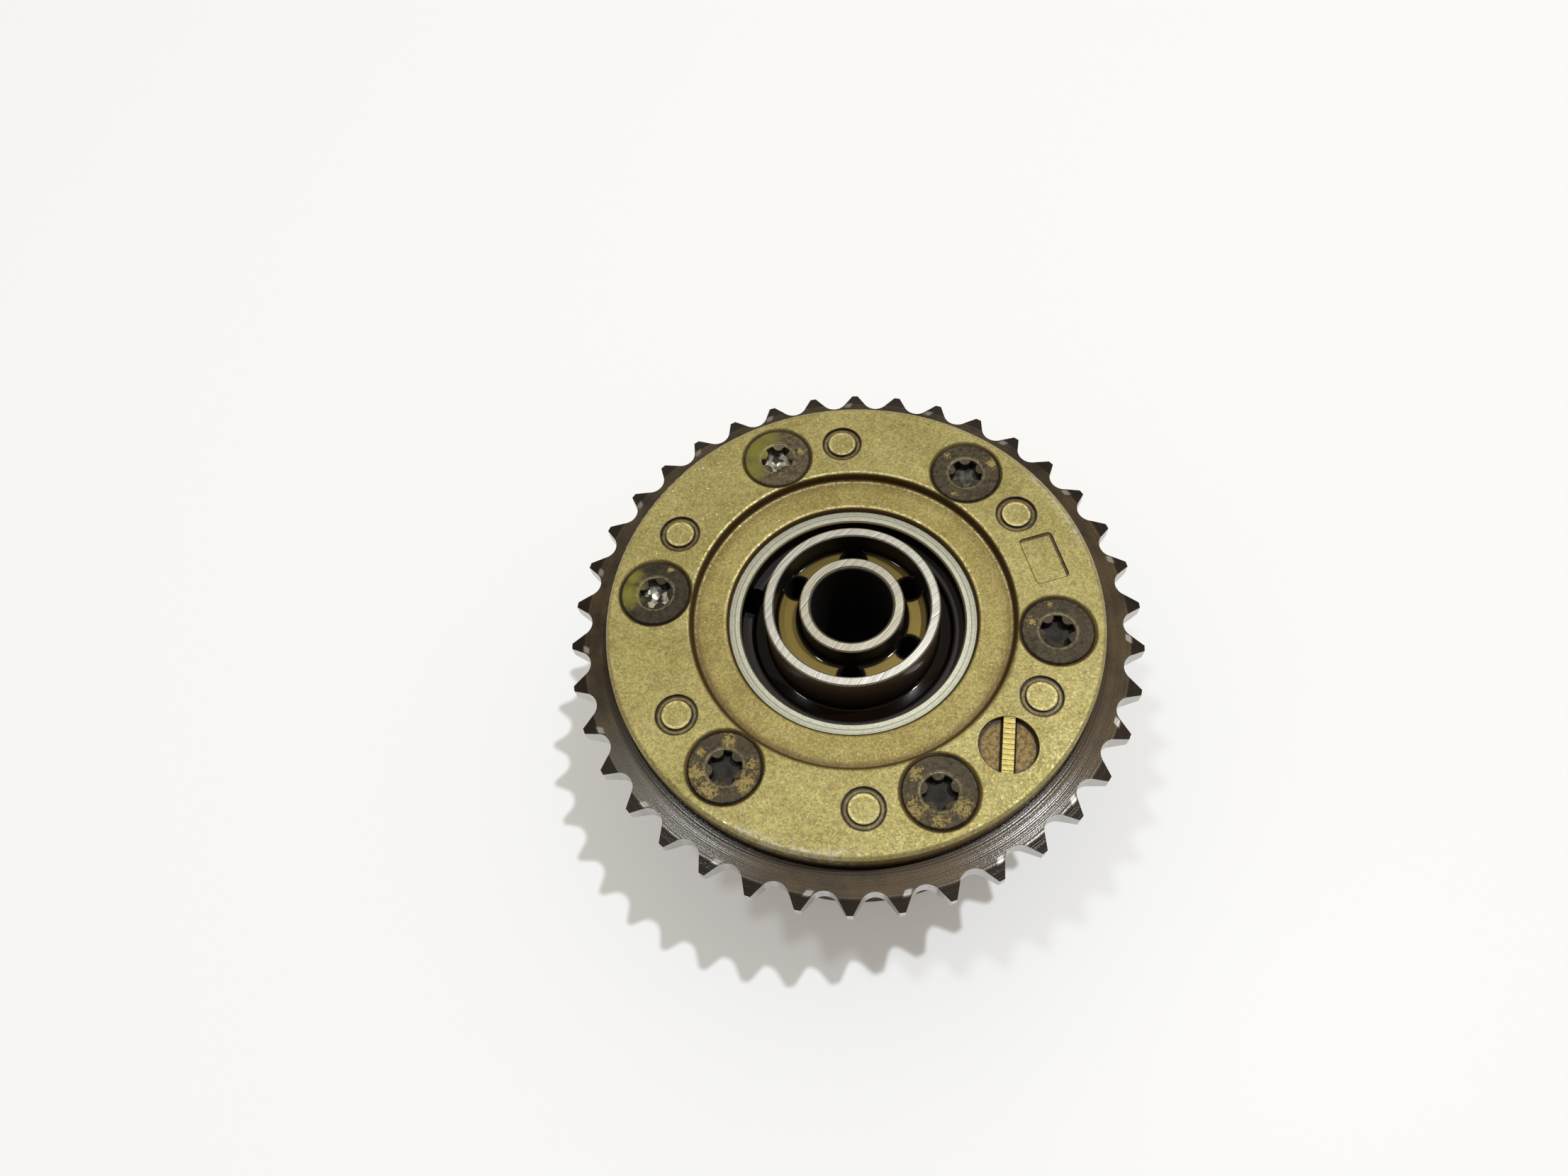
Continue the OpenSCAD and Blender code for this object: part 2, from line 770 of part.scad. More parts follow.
// Seal strip in the tip of vane k, round where it meets the chamber's wall
module vane_seal(k) {
    color("#3a3836")
    rotate(vane_at(k))
        translate([0, 0, rotor_bottom_z + seal_play])
            linear_extrude(seal_l)
                intersection() {
                    circle(r = seal_tip_r);
                    translate([seal_tip_r - seal_depth, -seal_w / 2])
                        square([seal_depth + over, seal_w]);
                }
}

// Bowed leaf spring between vane k and its seal strip
module vane_spring(k) {
    middle_z = rotor_bottom_z + rotor_h / 2;
    crown_x = seal_tip_r - seal_depth - seat_fit;
    leaf_w = seal_w - 2 * seal_play;
    color("#a9a9a5")
    rotate(vane_at(k))
        translate([crown_x - leaf_arc_r, leaf_w / 2, middle_z])
            rotate([90, 0, 0])
                linear_extrude(leaf_w)
                    difference() {
                        intersection() {
                            circle(r = leaf_arc_r);
                            translate([0, -leaf_l / 2])
                                square([leaf_arc_r + over, leaf_l]);
                        }
                        circle(r = leaf_arc_r - leaf_t);
                    }
}

// Places its children on the lock pin's axis
module at_pin() {
    rotate(vane_at(0))
        translate([pin_r, 0, 0])
            children();
}

module lock_pin() {
    color("#b5b3ac")
    at_pin()
        translate([0, 0, pin_foot_z])
            difference() {
                union() {
                    bevelled_disc(pin_d / 2, pin_l, 0, pin_lead);
                    bevelled_disc(collar_d / 2, collar_h, edge_bevel, edge_bevel);
                }
                translate([0, 0, -over])
                    cylinder(d = pin_bore_d, h = pin_bore_depth + over);
            }
}

module lock_pin_cap() {
    color("#9b9a95")
    at_pin()
        translate([0, 0, rotor_bottom_z])
            difference() {
                bevelled_disc(collar_d / 2 + pin_play - seat_fit, cap_t, edge_bevel, edge_bevel);
                translate([0, 0, -over])
                    cylinder(d = cap_vent_d, h = cap_t + 2 * over);
            }
}

module lock_pin_seat() {
    color("#a7a39a")
    ring_of(1, pin_r, wide_vane_at + lock_turn)
        translate([0, 0, face_z + seat_fit])
            difference() {
                cylinder(d = seat_d, h = seat_depth - 2 * seat_fit);
                translate([0, 0, -over])
                    cylinder(d = seat_bore_d, h = seat_depth + over);
            }
}

// Coil spring as a round wire swept along a helix, with its end turns in planes
module lock_pin_spring() {
    sides = 8;
    steps = 14;
    rings = pin_spring_turns * steps;
    low_z = cap_top_z + pin_wire_d / 2 + seat_fit;
    high_z = pin_spring_top_z - pin_wire_d / 2 - seat_fit;
    points = [
        for (k = [0:rings])
            let (a = 360 * k / steps, z = low_z + (high_z - low_z) * k / rings)
            for (s = [0:sides - 1])
                let (r = pin_coil_r + pin_wire_d / 2 * cos(360 * s / sides))
                [r * cos(a), r * sin(a), z + pin_wire_d / 2 * sin(360 * s / sides)]
    ];
    walls = [
        for (k = [0:rings - 1])
            for (s = [0:sides - 1])
                let (t = (s + 1) % sides)
                [k * sides + s, (k + 1) * sides + s, (k + 1) * sides + t, k * sides + t]
    ];
    ends = [
        [for (s = [0:sides - 1]) s],
        [for (s = [sides - 1:-1:0]) rings * sides + s]
    ];
    color("#b9b9b4")
    at_pin()
        polyhedron(points, concat(walls, ends));
}

// Flat spiral spring, with a tang in the rotor's nose and a hook round its post
module bias_spring() {
    step = 10;
    sweep = 360 * strip_turns;
    angles = [for (a = [0:step:sweep]) a];
    outer_side = [for (a = angles) spiral_point(a, strip_t / 2)];
    inner_side = [for (k = [len(angles) - 1:-1:0]) spiral_point(angles[k], -strip_t / 2)];
    hook_out_r = hook_in_r + strip_t;
    color("#6d6a63")
    translate([0, 0, strip_z])
        linear_extrude(strip_w)
            union() {
                polygon(concat(outer_side, inner_side));
                rotate(strip_angle)
                    translate([nose_r - tang_depth, -strip_t / 2])
                        square([strip_gap + tang_depth + strip_t, strip_t]);
                rotate(strip_end_angle)
                    translate([post_r, 0])
                        difference() {
                            circle(r = hook_out_r);
                            circle(r = hook_in_r);
                            translate([-2 * hook_out_r, -2 * hook_out_r])
                                square([4 * hook_out_r, 2 * hook_out_r - strip_play]);
                        }
            }
}

module spring_post() {
    color("#a2a09a")
    ring_of(1, post_r, strip_end_angle)
        translate([0, 0, sheet_top_z + seat_fit])
            bevelled_disc(post_d / 2, recess_z + post_hold - sheet_top_z - 2 * seat_fit, edge_bevel, edge_bevel);
}

module spring_cover() {
    color("#83807a")
    translate([0, 0, sheet_lift])
        difference() {
            bevelled_disc(ledge_r - seat_fit, sheet_t - seat_fit, edge_bevel, 0);
            translate([0, 0, -over])
                cylinder(r = nose_r + sheet_gap, h = sheet_t + 2 * over);
        }
}

camshaft_cover();
sprocket_housing();
front_cover();
cover_screws();
rotor();
for (k = [0:chamber_count - 1]) {
    vane_seal(k);
    vane_spring(k);
}
lock_pin();
lock_pin_spring();
lock_pin_cap();
lock_pin_seat();
bias_spring();
spring_post();
spring_cover();
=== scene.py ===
import itertools
import math

import bmesh
import bpy
from mathutils import Matrix, Vector


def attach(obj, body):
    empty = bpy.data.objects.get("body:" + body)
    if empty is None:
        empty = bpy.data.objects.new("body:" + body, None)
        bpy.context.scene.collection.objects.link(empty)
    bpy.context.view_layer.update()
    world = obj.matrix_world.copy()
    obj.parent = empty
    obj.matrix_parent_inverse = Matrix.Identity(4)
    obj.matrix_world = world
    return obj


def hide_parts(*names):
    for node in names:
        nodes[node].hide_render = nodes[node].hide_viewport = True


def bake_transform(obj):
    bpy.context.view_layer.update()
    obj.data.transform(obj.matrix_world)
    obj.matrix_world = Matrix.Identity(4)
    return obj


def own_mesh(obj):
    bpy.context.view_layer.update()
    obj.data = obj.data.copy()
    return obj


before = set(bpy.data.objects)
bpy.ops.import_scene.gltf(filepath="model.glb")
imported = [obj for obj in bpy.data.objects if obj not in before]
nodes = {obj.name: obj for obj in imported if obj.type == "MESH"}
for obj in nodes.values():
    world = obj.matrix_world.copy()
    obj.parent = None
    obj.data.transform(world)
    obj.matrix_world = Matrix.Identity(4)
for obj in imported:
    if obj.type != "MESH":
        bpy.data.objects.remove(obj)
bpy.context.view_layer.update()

MM = 0.001

# Places on the phaser, in millimetres and degrees as in its solids
# Camshaft cover: its edge and face, the step to the sunken band, the turned ring with its line, and the bore
COVER_R, COVER_TOP = 43.0, 46.0
STEP_R, BAND_Z = 28.0, 44.2
RING_R, RING_LINE_R, BORE_R, RING_Z = 21.6, 20.6, 19.5, 43.15
# Ejector pins' marks, date recess and mark field on that cover
MARK_ANGLE, MARK_R, MARK_GROOVE = 30.7, 3.55, 0.95
DATE_ANGLE, DATE_R = 313.8, 4.9
FIELD_ANGLE, FIELD_L, FIELD_W = 14.4, 9.2, 5.9
# Screws: their circle, heads, dished lead-ins and sockets
SCREW_R, SCREW_ANGLE = 34.846, 51.2
HEAD_R, HEAD_TOP, DISH_R, SOCKET_FLOOR = 6.2, 45.85, 3.4, 43.65
# Sprocket: its teeth, and where their feet, rubbed flats and bevels lie
TOOTH_ANGLE, TOOTH_PITCH = 1.85, 360 / 38
TOOTH_FOOT_R, FLAT_R, BEVEL_R = 45.0, 47.5, 47.85
# Rotor: its face, the ring groove round the hub, the hub's two ground rings and the oil groove between them
ROTOR_FACE, MOAT_R, MOAT_OIL_Z = 39.95, 17.65, 38.6
HUB_R, HUB_BORE_R, INNER_RING_R, BOLT_R, HUB_END = 15.1, 13.4, 9.0, 6.95, 48.7
GROOVE_FLOOR, OIL_HOLE_R = 43.5, 11.2
OIL_HOLES = [26.5, 86.5, 146.5, 266.5, 326.5]

# Oil residue on the screw heads, from the first screw on: kind, direction, distance from the middle and size
SCREW_SPOTS = [
    [("gold", 20, 5.0, 1.2), ("gold", 128, 4.9, 0.6), ("gold", -120, 4.9, 0.6)],
    [("green", 150, 4.4, 2.6), ("green", 205, 4.8, 2.0), ("green", 108, 5.2, 1.7),
     ("gold", 15, 4.7, 1.0)],
    [("green", 182, 5.0, 2.2), ("green", 140, 5.2, 1.4), ("gold", 60, 5.2, 0.6)],
    [("gold", 235, 4.6, 1.8), ("gold", 322, 4.6, 2.1), ("gold", 5, 4.6, 1.1), ("gold", 190, 4.8, 1.9),
     ("gold", 80, 4.6, 1.5), ("gold", 145, 4.5, 0.8)],
    [("gold", 140, 4.9, 1.4), ("gold", 212, 4.7, 1.9), ("gold", 268, 4.7, 1.5), ("gold", 322, 4.5, 1.9)],
    [("gold", 100, 5.1, 0.6), ("gold", 155, 4.6, 1.0)],
]
# How much of each screw's socket is rubbed bare, and how light its head is
BARE_SOCKETS = [0.12, 0.85, 0.95, 0.01, 0.0, 0.01]
HEAD_LIGHTNESS = [0.78, 1.3, 0.48, 0.72, 0.76, 0.7]


def linear(code):
    """Colour of an sRGB hex code in linear light."""
    parts = [int(code[i:i + 2], 16) / 255 for i in (1, 3, 5)]
    return [p / 12.92 if p <= 0.04045 else ((p + 0.055) / 1.055) ** 2.4 for p in parts] + [1.0]


def add(tree, kind, inputs=None, out=0, **settings):
    """Adds a node with its settings; inputs are values or other nodes' outputs. Gives one output, or all of them."""
    node = tree.nodes.new("ShaderNode" + kind)
    for name, value in settings.items():
        setattr(node, name, value)
    for socket, value in (inputs or {}).items():
        if isinstance(value, bpy.types.NodeSocket):
            tree.links.new(value, node.inputs[socket])
        else:
            node.inputs[socket].default_value = value
    return node.outputs if out is None else node.outputs[out]


def new_material(name):
    """New material and its empty node tree."""
    material = bpy.data.materials.new(name)
    material.use_nodes = True
    tree = material.node_tree
    tree.nodes.clear()
    return material, tree


def millimetres(tree):
    """Point on the part in millimetres."""
    return add(tree, "VectorMath", {0: add(tree, "TexCoord", out="Object"), "Scale": 1 / MM}, operation="SCALE")


def part_place(tree):
    """Place on the part in millimetres: the point, the same without its height, its distance from the axis, its height
    and its direction in degrees."""
    point = millimetres(tree)
    x, y, z = add(tree, "SeparateXYZ", {0: point}, out=None)
    level_place = add(tree, "CombineXYZ", {0: x, 1: y})
    radius = add(tree, "VectorMath", {0: level_place}, out="Value", operation="LENGTH")
    turn = add(tree, "Math", {0: y, 1: x}, operation="ARCTAN2")
    degrees = add(tree, "Math", {0: turn}, operation="DEGREES")
    return point, level_place, radius, z, degrees


def surface(tree, **inputs):
    """Principled surface to the material's output; an underscore in a name stands for a space."""
    shader = add(tree, "BsdfPrincipled", {k.replace("_", " "): v for k, v in inputs.items()})
    add(tree, "OutputMaterial", {0: shader}, out=None)


def between(tree, value, low, high, soft):
    """Mask of the places where a value lies between two limits, with soft edges."""
    rise = add(tree, "MapRange", {"Value": value, "From Min": low - soft, "From Max": low + soft})
    fall = add(tree, "MapRange", {"Value": value, "From Min": high + soft, "From Max": high - soft})
    return add(tree, "Math", {0: rise, 1: fall}, operation="MULTIPLY")


def on_circle(angle, radius=SCREW_R):
    """Place at an angle on a circle about the axis."""
    return (radius * math.cos(math.radians(angle)), radius * math.sin(math.radians(angle)), 0.0)


def from_nearest(tree, radius, degrees, first):
    """Distance from the nearest of six places on the screws' circle, which start at an angle."""
    turn = add(tree, "Math", {0: degrees, 1: first}, operation="SUBTRACT")
    turn = add(tree, "Math", {0: turn, 1: 30.0, 2: -30.0}, operation="WRAP")
    turn = add(tree, "Math", {0: add(tree, "Math", {0: turn}, operation="RADIANS")}, operation="COSINE")
    across = add(tree, "Math", {0: add(tree, "Math", {0: radius, 1: turn}, operation="MULTIPLY"), 1: -2 * SCREW_R,
                                2: SCREW_R ** 2}, operation="MULTIPLY_ADD")
    square = add(tree, "Math", {0: radius, 1: radius, 2: across}, operation="MULTIPLY_ADD")
    return add(tree, "Math", {0: square}, operation="SQRT")


def stained_cast_aluminium():
    """Die-cast aluminium under a gold oil stain: a sandy, glittering olive gold with glints painted on some grains,
    brown in every corner as painted shade with some grime, painted shade and highlights along its recesses and steps, a
    bare turned ring round the bore in two tones that stand for its reflection, and bare metal along the worn rim,
    partly a painted highlight."""
    material, tree = new_material("die_cast_aluminium_oil_stained")
    point, level_place, radius, z, degrees = part_place(tree)
    y = add(tree, "SeparateXYZ", {0: point}, out=1)

    # Stain: clouds of 9 mm, then brown blotches of 2 mm
    clouds = add(tree, "TexNoise", {"Vector": point, "Scale": 1 / 9, "Detail": 4.0, "Roughness": 0.6})
    clouds = add(tree, "MapRange", {"Value": clouds, "From Min": 0.35, "From Max": 0.68})
    stain = add(tree, "Mix", {0: clouds, 6: linear("#8F8449"), 7: linear("#A3985E")}, out=2, data_type="RGBA")
    blotches = add(tree, "TexNoise", {"Vector": point, "Scale": 1 / 2, "Detail": 4.0, "Roughness": 0.6})
    patchy = add(tree, "MapRange", {"Value": blotches, "From Min": 0.48, "From Max": 0.75, "To Max": 0.5})
    stain = add(tree, "Mix", {0: patchy, 6: stain, 7: linear("#7F6C33")}, out=2, data_type="RGBA")

    # The sunken band holds more varnish
    band = add(tree, "MapRange", {"Value": z, "From Min": BAND_Z + 1.2, "From Max": BAND_Z + 0.3},
               interpolation_type="SMOOTHSTEP")
    band_tone = add(tree, "Mix", {0: clouds, 6: linear("#897A3F"), 7: linear("#9D9054")}, out=2, data_type="RGBA")
    stain = add(tree, "Mix", {0: band, 6: stain, 7: band_tone}, out=2, data_type="RGBA")
    varnish = between(tree, radius, STEP_R - 1.7, STEP_R + 0.2, 0.9)
    varnish = add(tree, "Math", {0: varnish, 1: 0.5}, operation="MULTIPLY")
    stain = add(tree, "Mix", {0: varnish, 6: stain, 7: linear("#6E5725")}, out=2, data_type="RGBA")

    # Cast grains, 0.3 mm, which is coarser than the real skin so that they show, with glitter (a pale painted glint on
    # some grains) and dark pits
    grains = add(tree, "TexVoronoi", {"Vector": point, "Scale": 1 / 0.3}, out="Color")
    grain_tone, grain_tilt, grain_turn = add(tree, "SeparateColor", {0: grains}, out=None)
    lightness = add(tree, "MapRange", {"Value": grain_tone, "To Min": 0.72, "To Max": 1.25})
    stain = add(tree, "VectorMath", {0: stain, "Scale": lightness}, operation="SCALE")
    glitter = add(tree, "MapRange", {"Value": grain_tilt, "From Min": 0.92, "From Max": 0.98})
    painted_glint = add(tree, "Math", {0: glitter, 1: 0.25}, operation="MULTIPLY")
    stain = add(tree, "Mix", {0: painted_glint, 6: stain, 7: linear("#F2EACB")}, out=2, data_type="RGBA")
    dots = add(tree, "TexNoise", {"Vector": point, "Scale": 1 / 0.7, "Detail": 3.0, "Roughness": 0.7})
    pits = add(tree, "MapRange", {"Value": dots, "From Min": 0.6, "From Max": 0.72, "To Max": 0.6})
    stain = add(tree, "Mix", {0: pits, 6: stain, 7: linear("#5C4A22")}, out=2, data_type="RGBA")
    dots = add(tree, "MapRange", {"Value": dots, "From Min": 0.42, "From Max": 0.56})

    # Ejector pins' marks: brown in the groove, with dark lines along it that are painted shade of its walls with some
    # grime, and a painted highlight on its inner edge that is partly rubbed metal
    from_mark = from_nearest(tree, radius, degrees, MARK_ANGLE)
    top = add(tree, "Math", {0: z, 1: COVER_TOP - 0.7}, operation="GREATER_THAN")
    groove = between(tree, from_mark, MARK_R - MARK_GROOVE, MARK_R, 0.1)
    groove_tone = add(tree, "Mix", {0: dots, 6: linear("#493513"), 7: linear("#76602B")}, out=2, data_type="RGBA")
    groove_share = add(tree, "MapRange", {"Value": clouds, "To Min": 0.95, "To Max": 0.5})
    groove = add(tree, "Math", {0: groove, 1: groove_share}, operation="MULTIPLY")
    stain = add(tree, "Mix", {0: groove, 6: stain, 7: groove_tone}, out=2, data_type="RGBA")
    # Dark lines: painted shade along the groove's walls, with some grime
    line_in = between(tree, from_mark, MARK_R - MARK_GROOVE - 0.08, MARK_R - MARK_GROOVE + 0.24, 0.08)
    line_out = between(tree, from_mark, MARK_R - 0.33, MARK_R + 0.15, 0.1)
    groove_wall_shade = add(tree, "Math", {0: line_in, 1: line_out}, operation="MAXIMUM")
    line_share = add(tree, "MapRange", {"Value": blotches, "From Min": 0.35, "From Max": 0.6, "To Min": 0.8})
    groove_wall_shade = add(tree, "Math", {0: groove_wall_shade, 1: line_share}, operation="MULTIPLY")
    stain = add(tree, "Mix", {0: groove_wall_shade, 6: stain, 7: linear("#170D05")}, out=2, data_type="RGBA")
    # Bright inner edge: a painted highlight, partly rubbed metal
    rubbed_and_bright = between(tree, from_mark, MARK_R - MARK_GROOVE - 0.55, MARK_R - MARK_GROOVE - 0.2, 0.1)
    rubbed_and_bright = add(tree, "Math", {0: rubbed_and_bright, 1: dots}, operation="MULTIPLY")

    # Black ring round each screw's recess: painted shade in the gap round the head
    from_screw = from_nearest(tree, radius, degrees, SCREW_ANGLE)
    recess_shade = between(tree, from_screw, HEAD_R - 1.2, HEAD_R + 0.3, 0.08)
    recess_shade = add(tree, "Math", {0: recess_shade, 1: line_share}, operation="MULTIPLY")
    recess_shade = add(tree, "Math", {0: recess_shade, 1: top}, operation="MULTIPLY")
    stain = add(tree, "Mix", {0: recess_shade, 6: stain, 7: linear("#2E2110")}, out=2, data_type="RGBA")

    # Step down to the band: a brown wall, painted shade with some grime, and dotted edges painted as highlights, partly
    # rubbed metal, with another such edge where the band ends. The highlights are painted mostly on the far half; on
    # the near half the wall's foot gets painted shade instead
    step = between(tree, radius, STEP_R - 0.4, STEP_R + 0.35, 0.2)
    step = add(tree, "Math", {0: step, 1: 0.95}, operation="MULTIPLY")
    stain = add(tree, "Mix", {0: step, 6: stain, 7: linear("#3E2B0D")}, out=2, data_type="RGBA")
    # Painted shade along the wall's foot, growing toward the near side
    near_step_shade = between(tree, radius, STEP_R - 1.1, STEP_R + 0.3, 0.5)
    near_half = add(tree, "MapRange", {"Value": y, "From Min": 10.0, "From Max": -10.0, "To Max": 0.85})
    near_step_shade = add(tree, "Math", {0: near_step_shade, 1: near_half}, operation="MULTIPLY")
    stain = add(tree, "Mix", {0: near_step_shade, 6: stain, 7: linear("#523D14")}, out=2, data_type="RGBA")
    # Dark line where the band slopes down to the turned ring: painted shade
    band_foot_shade = between(tree, radius, RING_R - 0.1, RING_R + 0.4, 0.1)
    stain = add(tree, "Mix", {0: band_foot_shade, 6: stain, 7: linear("#4A3716")}, out=2, data_type="RGBA")
    # Painted highlights on the step's rounded edges and on the band's inner rounding, broken into dots and partly
    # rubbed metal, mostly on the far half; the ejector marks' bright inner edges join them
    edge_above = between(tree, radius, STEP_R + 0.4, STEP_R + 0.75, 0.12)
    edge_below = between(tree, radius, STEP_R - 0.75, STEP_R - 0.5, 0.12)
    edge_inner = between(tree, radius, RING_R + 0.55, RING_R + 0.9, 0.12)
    edge_highlights = add(tree, "Math", {0: edge_above, 1: edge_below}, operation="MAXIMUM")
    edge_highlights = add(tree, "Math", {0: edge_highlights, 1: edge_inner}, operation="MAXIMUM")
    edge_highlights = add(tree, "Math", {0: edge_highlights, 1: dots}, operation="MULTIPLY")
    far_half = add(tree, "Math", {0: 1.0, 1: near_half}, operation="SUBTRACT")
    edge_highlights = add(tree, "Math", {0: edge_highlights, 1: far_half}, operation="MULTIPLY")
    edge_highlights = add(tree, "Math", {0: edge_highlights, 1: rubbed_and_bright}, operation="MAXIMUM")
    edge_highlights = add(tree, "Math", {0: edge_highlights, 1: 0.75}, operation="MULTIPLY")
    stain = add(tree, "Mix", {0: edge_highlights, 6: stain, 7: linear("#D6CA93")}, out=2, data_type="RGBA")

    # Round date recess, red brown beside its gold bar
    from_date = add(tree, "VectorMath", {0: level_place, 1: on_circle(DATE_ANGLE)}, out="Value", operation="DISTANCE")
    date_floor = add(tree, "Math", {0: from_date, 1: DATE_R + 0.1}, operation="LESS_THAN")
    sunken = add(tree, "MapRange", {"Value": z, "From Min": COVER_TOP - 0.4, "From Max": COVER_TOP - 0.8,
                                    "To Max": 0.9})
    date_floor = add(tree, "Math", {0: date_floor, 1: sunken}, operation="MULTIPLY")
    date_tone = add(tree, "Mix", {0: dots, 6: linear("#4A3618"), 7: linear("#7D6534")}, out=2, data_type="RGBA")
    stain = add(tree, "Mix", {0: date_floor, 6: stain, 7: date_tone}, out=2, data_type="RGBA")
    # Dark ring inside the recess's edge: painted shade under its wall
    date_rim_shade = between(tree, from_date, DATE_R - 0.45, DATE_R + 0.1, 0.2)
    date_rim_shade = add(tree, "Math", {0: date_rim_shade, 1: sunken}, operation="MULTIPLY")
    stain = add(tree, "Mix", {0: date_rim_shade, 6: stain, 7: linear("#2B1D0C")}, out=2, data_type="RGBA")
    date_bar = add(tree, "Math", {0: from_date, 1: DATE_R - 0.1}, operation="LESS_THAN")
    bar_top = between(tree, z, COVER_TOP - 0.4, COVER_TOP - 0.07, 0.03)
    date_bar = add(tree, "Math", {0: date_bar, 1: bar_top}, operation="MULTIPLY")
    date_bar = add(tree, "Math", {0: date_bar, 1: 0.75}, operation="MULTIPLY")
    stain = add(tree, "Mix", {0: date_bar, 6: stain, 7: linear("#CDBA6C")}, out=2, data_type="RGBA")

    # Edges of the mark field, painted shade along them, darker at its far end and its outer side, where its walls'
    # painted shadow falls
    from_field = add(tree, "VectorMath", {0: level_place, 1: on_circle(FIELD_ANGLE)}, operation="SUBTRACT")
    corner = 0.8
    past_core, shaded = [], []
    for turn, half, shade_w in ((90, FIELD_L / 2, 0.65), (0, FIELD_W / 2, 0.6)):
        way = on_circle(FIELD_ANGLE + turn, 1.0)
        along = add(tree, "VectorMath", {0: from_field, 1: way}, out="Value", operation="DOT_PRODUCT")
        off = add(tree, "Math", {0: along}, operation="ABSOLUTE")
        off = add(tree, "Math", {0: off, 1: half - corner}, operation="SUBTRACT")
        past_core.append(add(tree, "Math", {0: off, 1: 0.0}, operation="MAXIMUM"))
        shaded.append(add(tree, "MapRange", {"Value": along, "From Min": half - shade_w, "From Max": half - 0.4}))
    from_core = add(tree, "CombineXYZ", {0: past_core[0], 1: past_core[1]})
    from_core = add(tree, "VectorMath", {0: from_core}, out="Value", operation="LENGTH")
    from_edge = add(tree, "Math", {0: from_core, 1: corner}, operation="SUBTRACT")
    field_edge_shade = between(tree, from_edge, -0.18, 0.05, 0.06)
    shaded = add(tree, "Math", {0: shaded[0], 1: shaded[1]}, operation="MAXIMUM")
    in_field = add(tree, "Math", {0: from_edge, 1: 0.05}, operation="LESS_THAN")
    shaded = add(tree, "Math", {0: shaded, 1: in_field}, operation="MULTIPLY")
    field_edge_shade = add(tree, "Math", {0: field_edge_shade, 1: shaded}, operation="MAXIMUM")
    field_edge_shade = add(tree, "Math", {0: field_edge_shade, 1: line_share}, operation="MULTIPLY")
    stain = add(tree, "Mix", {0: field_edge_shade, 6: stain, 7: linear("#3F2E12")}, out=2, data_type="RGBA")

    # Bare metal along the rim: a thin grey line on its rounding, partly bare metal and partly a painted highlight that
    # is stronger on the far side, and chips on the near side and to the right
    rim = add(tree, "MapRange", {"Value": radius, "From Min": COVER_R - 0.7, "From Max": COVER_R - 0.3},
              interpolation_type="SMOOTHSTEP")
    rim_top = add(tree, "MapRange", {"Value": z, "From Min": COVER_TOP - 1.1, "From Max": COVER_TOP - 0.6},
                  interpolation_type="SMOOTHSTEP")
    rim = add(tree, "Math", {0: rim, 1: rim_top}, operation="MULTIPLY")
    rim = add(tree, "Math", {0: rim, 1: line_share}, operation="MULTIPLY")
    far_side = add(tree, "MapRange", {"Value": y, "From Min": -15.0, "From Max": 15.0, "To Min": 0.15, "To Max": 0.45})
    rim = add(tree, "Math", {0: rim, 1: far_side}, operation="MULTIPLY")
    wide_rim = add(tree, "MapRange", {"Value": radius, "From Min": COVER_R - 3.4, "From Max": COVER_R - 0.8},
                   interpolation_type="SMOOTHSTEP")
    near = between(tree, degrees, -125.0, -88.0, 8.0)
    right = between(tree, degrees, 12.0, 42.0, 6.0)
    worn = add(tree, "Math", {0: near, 1: right}, operation="MAXIMUM")
    worn = add(tree, "Math", {0: worn, 1: wide_rim}, operation="MULTIPLY")
    chips = add(tree, "TexNoise", {"Vector": point, "Scale": 1 / 1.1, "Detail": 6.0, "Roughness": 0.75})
    chips = add(tree, "Math", {0: worn, 1: 0.22, 2: chips}, operation="MULTIPLY_ADD")
    chips = add(tree, "MapRange", {"Value": chips, "From Min": 0.68, "From Max": 0.77, "To Max": 0.7})
    chips = add(tree, "Math", {0: chips, 1: wide_rim}, operation="MULTIPLY")
    bare_rim_and_highlight = add(tree, "Math", {0: rim, 1: chips}, operation="MAXIMUM")

    # Turned ring round the bore, with its tool marks; its two halves are painted in two tones, a painted reflection of
    # how each catches the light
    ring = add(tree, "MapRange", {"Value": radius, "From Min": RING_R - 0.02, "From Max": RING_R - 0.12})
    tool_marks = add(tree, "TexNoise", {"W": add(tree, "Math", {0: radius, 1: 1 / 0.16}, operation="MULTIPLY"),
                                        "Scale": 1.0, "Detail": 2.0}, noise_dimensions="1D")
    ring_light = add(tree, "MapRange", {"Value": tool_marks, "From Min": 0.3, "From Max": 0.7,
                                        "To Min": 0.78, "To Max": 1.12})
    ring_half_reflection = add(tree, "MapRange", {"Value": radius, "From Min": RING_LINE_R - 0.1, "From Max": RING_LINE_R + 0.1})
    ring_tone = add(tree, "Mix", {0: ring_half_reflection, 6: linear("#AAA998"), 7: linear("#9D9C8B")}, out=2, data_type="RGBA")
    ring_grain = add(tree, "MapRange", {"Value": grain_tone, "To Min": 0.88, "To Max": 1.1})
    ring_light = add(tree, "Math", {0: ring_light, 1: ring_grain}, operation="MULTIPLY")
    ring_tone = add(tree, "VectorMath", {0: ring_tone, "Scale": ring_light}, operation="SCALE")
    ring_line = between(tree, radius, RING_LINE_R - 0.1, RING_LINE_R + 0.1, 0.06)
    ring_line = add(tree, "Math", {0: ring_line, 1: 0.6}, operation="MULTIPLY")
    ring_tone = add(tree, "Mix", {0: ring_line, 6: ring_tone, 7: linear("#6E6A55")}, out=2, data_type="RGBA")
    gold_lip = add(tree, "MapRange", {"Value": radius, "From Min": BORE_R + 0.18, "From Max": BORE_R + 0.08})
